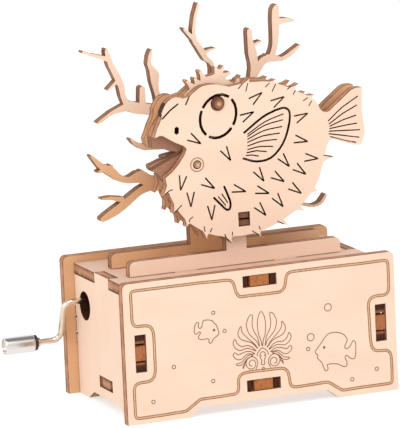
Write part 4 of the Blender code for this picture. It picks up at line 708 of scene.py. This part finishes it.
# The band between the border's two lines is a pale tan painted shade of the V-groove there, made with the
# same line finish
grooveShade = scorchedLine("border_groove", (0.66, 0.43, 0.28), (0.56, 0.345, 0.21))
drawingBurn = scorchedLine("drawing_burn", (0.26, 0.12, 0.058), (0.155, 0.065, 0.03))
panelDrawing = {
    "border": [
        (-53.2, 50.6), (-53.1, 45.8), (-53.1, 40.5), (-52.6, 39.1), (-51.6, 38.2), (-47.6, 38.2),
        (-45.8, 37.6), (-44.8, 36), (-44.5, 33.6), (-44.5, 27.3), (-44.5, 20.3), (-44.9, 18.3),
        (-45.8, 17), (-47.2, 16.3), (-51.3, 16.2), (-52.8, 15.6), (-53.5, 14.1), (-53.5, 11),
        (-53.5, 4), (-53.2, 2.8), (-52.1, 2.4), (-42, 2.5), (-32.8, 2.8), (-32.1, 3.1), (-27.1, 6.4),
        (-26.3, 6.7), (-19.7, 6.7), (-12.2, 6.9), (-11.1, 7.5), (-10.6, 8.6), (-10.5, 12.5),
        (-9.9, 13.8), (-8.5, 14.6), (-5.6, 14.9), (-1.3, 14.8), (7.3, 14.7), (9, 14.3), (10.2, 12.9),
        (10.6, 11.2), (10.9, 8.4), (11.4, 7.1), (12.9, 6.5), (19.8, 6.6), (26.3, 6.8), (27.6, 6.3),
        (32.6, 2.8), (33.9, 2.7), (41.3, 2.9), (52.2, 2.9), (53.5, 3), (54, 3.7), (54.1, 9.8),
        (53.9, 14.3), (53.1, 15.7), (51.8, 16.3), (47.9, 16.5), (46.7, 17.1), (45.8, 18.6),
        (45.4, 21.8), (45.3, 27.4), (45.2, 31.6), (45.1, 34.7), (45.3, 36.3), (46.2, 37.6),
        (47.8, 38.2), (49.8, 38.3), (52.1, 38.2), (53.4, 38.9), (54, 40.3), (54.1, 45.3), (54, 50.6),
        (53.7, 51.4), (52.8, 51.9), (50.4, 51.9), (41.5, 51.8), (35.9, 51.9), (26.6, 52), (19.6, 52),
        (13.7, 52), (12.1, 51.7), (11.2, 50.6), (10.8, 49.1), (10.5, 46.8), (9.6, 45.4), (8.1, 44.6),
        (1.9, 44.6), (-5, 44.7), (-8.5, 44.7), (-9.4, 45.6), (-10.1, 47), (-10.5, 49), (-11.1, 50.8),
        (-12.3, 51.7), (-15, 51.9), (-18.4, 51.9), (-24.6, 52.1), (-38.1, 52.1), (-51.6, 52.1),
        (-52.8, 51.8),
    ],
    "borderGap": 0.85, "borderWidth": 0.36, "borderRounding": 0.9, "grooveMargin": 0.02, "lineWidth": 0.34,
    "eyeRadius": 0.3, "eyeWidth": 0.5, "seed": (0.0, 15.6), "seedRadius": 0.45, "seedWidth": 0.3,
    "smallFish": [
        (-17.7, 31.7), (-18.1, 33.1), (-18.6, 34.7), (-19.5, 35.7), (-20.4, 36.8), (-22.2, 37.3),
        (-23.9, 37.2), (-24.3, 36.3), (-24.8, 34.8), (-25.5, 34.4), (-26.2, 35.2), (-25.9, 36.5),
        (-26.7, 36.8), (-27.6, 35.3), (-27.8, 32.9), (-27.0, 32.3), (-26.0, 33.0), (-25.3, 32.6),
        (-26.2, 31.3), (-26.2, 30.5), (-24.8, 29.9), (-22.6, 30.0), (-21.9, 29.4), (-22.1, 28.6),
        (-21.6, 28.1), (-20.8, 28.4), (-20.2, 29.5), (-18.9, 30.4), (-18.1, 31.0),
    ],
    "largeFish": [
        (21.9, 19.2), (23.3, 21.0), (24.7, 22.6), (26.5, 24.8), (28.4, 25.9), (31.4, 25.9), (34.0, 24.8),
        (35.5, 23.0), (35.3, 21.6), (34.4, 19.7), (35.4, 18.9), (36.9, 20.0), (38.1, 21.8), (39.0, 21.0),
        (39.1, 18.7), (38.8, 15.5), (37.8, 14.6), (36.5, 15.1), (35.2, 16.3), (34.4, 15.7), (35.1, 13.7),
        (34.9, 12.1), (33.5, 12.1), (31.3, 13.3), (29.0, 13.7), (26.8, 13.6), (27.1, 11.9), (25.9, 11.3),
        (25.2, 12.9), (24.5, 14.8), (22.7, 16.8), (23.0, 17.8),
    ],
    "eyes": [(-19.7, 33.0), (25.8, 20.6)],
    "bubbles": [
        (-19.7, 39.8, 0.65), (-15.4, 32.2, 0.65), (-36.9, 20.7, 0.7), (-21.0, 13.2, 0.7), (-45.9, 8.1, 0.7),
        (19.1, 20.8, 0.7), (47.6, 9.4, 0.7), (37.1, 6.5, 0.7), (28.0, 36.2, 1.45), (20.3, 25.3, 1.45),
    ],
    "middleLobe": [
        (0.0, 24.3), (-0.5, 26.6), (-1.4, 29.3), (-1.7, 32.6), (-1.4, 35.4), (-0.7, 37.2), (0.0, 37.9),
        (0.7, 37.2), (1.4, 35.4), (1.7, 32.6), (1.4, 29.3), (0.5, 26.6),
    ],
    "lobes": [
        [(1.2, 24.3), (1.8, 27.8), (3.3, 30.6), (3.9, 33.4), (3.6, 36.8), (4.6, 36.9), (5.7, 35.4),
         (6.3, 33.1), (5.4, 30.0), (3.7, 28.0), (2.2, 26.4)],
        [(2.0, 23.6), (3.4, 25.7), (6.2, 28.4), (8.2, 30.8), (8.5, 33.1), (9.5, 31.8), (9.9, 30.0),
         (8.8, 28.1), (6.3, 26.9), (4.7, 26.3), (3.2, 25.0)],
        [(2.7, 22.7), (4.4, 24.5), (6.4, 25.3), (8.6, 25.2), (10.3, 26.4), (11.3, 28.3), (12.1, 26.7),
         (11.2, 24.8), (9.2, 23.7), (6.6, 24.2), (4.3, 23.5)],
        [(3.3, 21.7), (5.1, 22.8), (7.3, 22.9), (10.1, 22.1), (11.1, 22.9), (11.9, 23.0), (12.2, 21.8),
         (10.6, 20.3), (8.8, 20.3), (6.5, 21.9), (4.7, 21.8)],
        [(4.0, 21.2), (5.8, 21.4), (7.2, 20.4), (8.9, 19.0), (10.9, 18.6), (11.0, 18.2), (9.9, 17.8),
         (8.1, 18.4), (6.6, 20.0)],
    ],
    "volute": [
        (3.2, 15.4), (2.2, 17.6), (2.8, 19.6), (4.4, 20.7), (6.3, 20.1), (7.1, 18.1), (6.2, 16.4),
        (4.5, 15.9), (3.1, 17.1), (3.4, 18.8), (4.7, 19.4), (5.8, 18.4), (5.4, 17.2), (4.5, 17.1),
    ],
    "arch": [(-2.4, 20.6), (-1.9, 22.1), (0.0, 23.6), (1.9, 22.1), (2.4, 20.6)],
    "innerArch": [(-1.3, 20.5), (-0.9, 21.6), (0.0, 22.1), (0.9, 21.6), (1.3, 20.5)],
    "stem": [(-0.6, 20.8), (-1.1, 20.0), (-0.5, 18.6), (-0.8, 17.4), (0.0, 17.0), (0.8, 17.4), (0.5, 18.6),
             (1.1, 20.0), (0.6, 20.8)],
    "flick": [(7.0, 19.4), (7.6, 18.3), (8.2, 17.5), (8.4, 16.4), (8.0, 17.2), (7.2, 17.9)],
}
thin = panelDrawing["lineWidth"]
border = cornerPath(panelDrawing["border"], panelDrawing["borderRounding"], 4)
half = panelDrawing["borderGap"] / 2
borderLines = [(sidePath(border, side * half), panelDrawing["borderWidth"], True) for side in (-1, 1)]
engraving("panel_border", borderLines, layout["frontY"], borderBurn)
grooveWidth = panelDrawing["borderGap"] - panelDrawing["borderWidth"] - panelDrawing["grooveMargin"]
engraving("panel_border_groove", [(border, grooveWidth, True)], layout["frontY"], grooveShade)
fishLines = [(smoothPath(panelDrawing[key], True, 4), thin, True) for key in ("smallFish", "largeFish")]
eyeRadius = panelDrawing["eyeRadius"]
eyeWidth = panelDrawing["eyeWidth"]
fishLines += [(circlePath(eye, eyeRadius, 10), eyeWidth, True) for eye in panelDrawing["eyes"]]
engraving("panel_fish", fishLines, layout["frontY"], drawingBurn)
bubbleLines = [(circlePath((x, z), radius), thin, True) for x, z, radius in panelDrawing["bubbles"]]
engraving("panel_bubbles", bubbleLines, layout["frontY"], drawingBurn)
mirror = np.array([-1, 1])
palmetteLines = [(smoothPath(panelDrawing["middleLobe"], True, 5), thin, True)]
for lobe in panelDrawing["lobes"]:
    shape = smoothPath(lobe, True, 4)
    palmetteLines += [(shape, thin, True), (shape * mirror, thin, True)]
for key in ("volute", "flick"):
    shape = smoothPath(panelDrawing[key], False, 5)
    palmetteLines += [(shape, thin, False), (shape * mirror, thin, False)]
for key in ("arch", "innerArch", "stem"):
    palmetteLines.append((smoothPath(panelDrawing[key], False, 5), thin, False))
seed = circlePath(panelDrawing["seed"], panelDrawing["seedRadius"], 12)
palmetteLines.append((seed, panelDrawing["seedWidth"], True))
engraving("panel_palmette", palmetteLines, layout["frontY"], drawingBurn)

print("fish engraving")
fishDrawing = {
    "mouthRing": (-16.1, 42.0, 2.65), "ringWidth": 0.48,
    "thorns": [
        [(2.2, 69.6), (4.2, 71.5)], [(5.4, 68.3), (6.4, 71.5)], [(13.6, 69.2), (15.4, 70.6)],
        [(16.3, 67.1), (18.1, 70.1)], [(22.7, 67.4), (24.2, 68.4)], [(25.1, 65.1), (26.2, 66.8)],
        [(29.2, 62.2), (31.2, 63.3)], [(31.5, 60.0), (32.8, 61.9)],
        [(-30.2, 31.6), (-28.8, 32.6), (-27.9, 33.1), (-26.6, 33.4)],
        [(-26.5, 24.3), (-25.2, 25.2), (-24.2, 26.1), (-23.1, 27.0)],
        [(-20.5, 20.0), (-20.0, 21.0), (-19.5, 21.4), (-18.7, 21.9)],
        [(-14.4, 17.6), (-14.0, 15.5)], [(-12.0, 15.0), (-11.0, 16.6)],
        [(-5.9, 13.6), (-5.2, 11.8), (-4.4, 10.9)],
        [(-2.8, 12.7), (-2.6, 14.1)], [(5.6, 13.6), (8.6, 11.5)], [(8.5, 15.2), (9.0, 13.7)],
        [(16.3, 16.2), (18.9, 14.8)], [(36.9, 40.0), (40.6, 39.1)],
    ],
    "thornWidth": 0.42,
}


def figurePath(points):
    return np.array(points, float) + np.array([0, layout["deckZ"]])


lineBurn = scorchedLine("fish_line_burn", (0.075, 0.026, 0.012), (0.035, 0.012, 0.006))
ringBurn = scorchedLine("ring_burn", (0.42, 0.25, 0.13), (0.30, 0.165, 0.08))
ringX, ringZ, ringRadius = fishDrawing["mouthRing"]
mouthRing = circlePath((ringX, ringZ + layout["deckZ"]), ringRadius, 32)
ringLines = [(mouthRing, fishDrawing["ringWidth"], True)]
engraving("mouth_ring", ringLines, layout["fishFrontY"], ringBurn)
thornWidth = fishDrawing["thornWidth"]
thornLines = [(smoothPath(figurePath(path), False, 4), thornWidth, False) for path in fishDrawing["thorns"]]
engraving("thorn_lines", thornLines, layout["fishFrontY"], lineBurn)

print("camera, light and floor")
studio = {
    "aim": (13.375, -9.9, 77.6), "azimuth": -21.98, "elevation": 10.62, "roll": -2.51, "distance": 1831.0,
    "focal": 4726.0, "middle": (232.4, 200.4), "frame": (400, 428), "lightAim": (0.013, -0.01, 0.06),
    "horizon": (1.06, 1.06, 1.06), "ceiling": (0.30, 0.29, 0.28), "ceilingFrom": 0.74, "ceilingFull": 0.86,
    "key": {"azimuth": -20, "elevation": 56, "distance": 1.2, "size": 1.0, "power": 6.7,
            "colour": (1.0, 0.99, 0.97)},
    "side": {"azimuth": -72, "elevation": 20, "distance": 1.0, "size": 0.7, "power": 1.6,
             "colour": (1.0, 0.97, 0.95)},
    "floor": {"reach": 4.0, "grey": (0.45, 0.45, 0.45), "glow": (1.0, 1.0, 1.0), "glowStrength": 0.62},
}


def direction(azimuth, elevation):
    azimuth = math.radians(azimuth)
    elevation = math.radians(elevation)
    return Vector((math.sin(azimuth) * math.cos(elevation), -math.cos(azimuth) * math.cos(elevation),
                   math.sin(elevation)))


def placeCamera(size):
    # The lens axis of the fitted view is turned a third of a degree, so that no shift is needed
    back = direction(size["azimuth"], size["elevation"])
    level = Vector((math.cos(math.radians(size["azimuth"])), math.sin(math.radians(size["azimuth"])), 0))
    upright = back.cross(level)
    roll = math.radians(size["roll"])
    right = math.cos(roll) * level + math.sin(roll) * upright
    up = math.cos(roll) * upright - math.sin(roll) * level
    width, height = size["frame"]
    ahead = -back + right * (width / 2 - size["middle"][0]) / size["focal"]
    ahead = (ahead - up * (height / 2 - size["middle"][1]) / size["focal"]).normalized()
    spot = (Vector(size["aim"]) + back * size["distance"]) * mm
    right = (right - ahead * right.dot(ahead)).normalized()
    up = right.cross(ahead)
    data = bpy.data.cameras.new("camera")
    data.sensor_fit = "HORIZONTAL"
    data.sensor_width = 36
    data.lens = 36 * size["focal"] / width
    data.clip_start = 0.05
    data.clip_end = 20
    camera = bpy.data.objects.new("camera", data)
    turn = Matrix((right, up, -ahead)).transposed().to_4x4()
    camera.matrix_world = Matrix.Translation(spot) @ turn
    bpy.context.scene.collection.objects.link(camera)
    bpy.context.scene.camera = camera


def placeLight(name, size):
    data = bpy.data.lights.new(name, "AREA")
    data.shape = "DISK"
    data.size = size["size"]
    data.energy = size["power"]
    data.color = size["colour"]
    light = bpy.data.objects.new(name, data)
    toward = direction(size["azimuth"], size["elevation"])
    light.location = Vector(studio["lightAim"]) + toward * size["distance"]
    light.rotation_euler = toward.to_track_quat("Z", "Y").to_euler()
    bpy.context.scene.collection.objects.link(light)


placeCamera(studio)
placeLight("key_light", studio["key"])
placeLight("side_light", studio["side"])
world = bpy.data.worlds.new("studio")
world.use_nodes = True
tree = world.node_tree
sky = tree.nodes.new("ShaderNodeTexCoord")
height = tree.nodes.new("ShaderNodeSeparateXYZ")
fade = tree.nodes.new("ShaderNodeMapRange")
fade.inputs["From Min"].default_value = studio["ceilingFrom"]
fade.inputs["From Max"].default_value = studio["ceilingFull"]
shade = tree.nodes.new("ShaderNodeMix")
shade.data_type = "RGBA"
shade.inputs[6].default_value = (*studio["horizon"], 1)
shade.inputs[7].default_value = (*studio["ceiling"], 1)
tree.links.new(sky.outputs["Generated"], height.inputs[0])
tree.links.new(height.outputs[2], fade.inputs[0])
tree.links.new(fade.outputs[0], shade.inputs[0])
tree.links.new(shade.outputs[2], tree.nodes["Background"].inputs[0])
bpy.context.scene.world = world
bpy.context.scene.view_settings.view_transform = "Standard"
bpy.context.scene.view_settings.look = "None"

floorMesh = bpy.data.meshes.new("floor")
reach = studio["floor"]["reach"]
floorMesh.from_pydata([(-reach, -reach, 0), (reach, -reach, 0), (reach, reach, 0), (-reach, reach, 0)],
                      [], [(0, 1, 2, 3)])
floorObject = bpy.data.objects.new("floor", floorMesh)
bpy.context.scene.collection.objects.link(floorObject)
floorFinish = Finish("floor_paint", roughness=0.9)
floorFinish.set("Base Color", studio["floor"]["grey"])
floorFinish.set("Emission Color", studio["floor"]["glow"])
floorFinish.set("Emission Strength", studio["floor"]["glowStrength"])
floorMesh.materials.append(floorFinish.material)
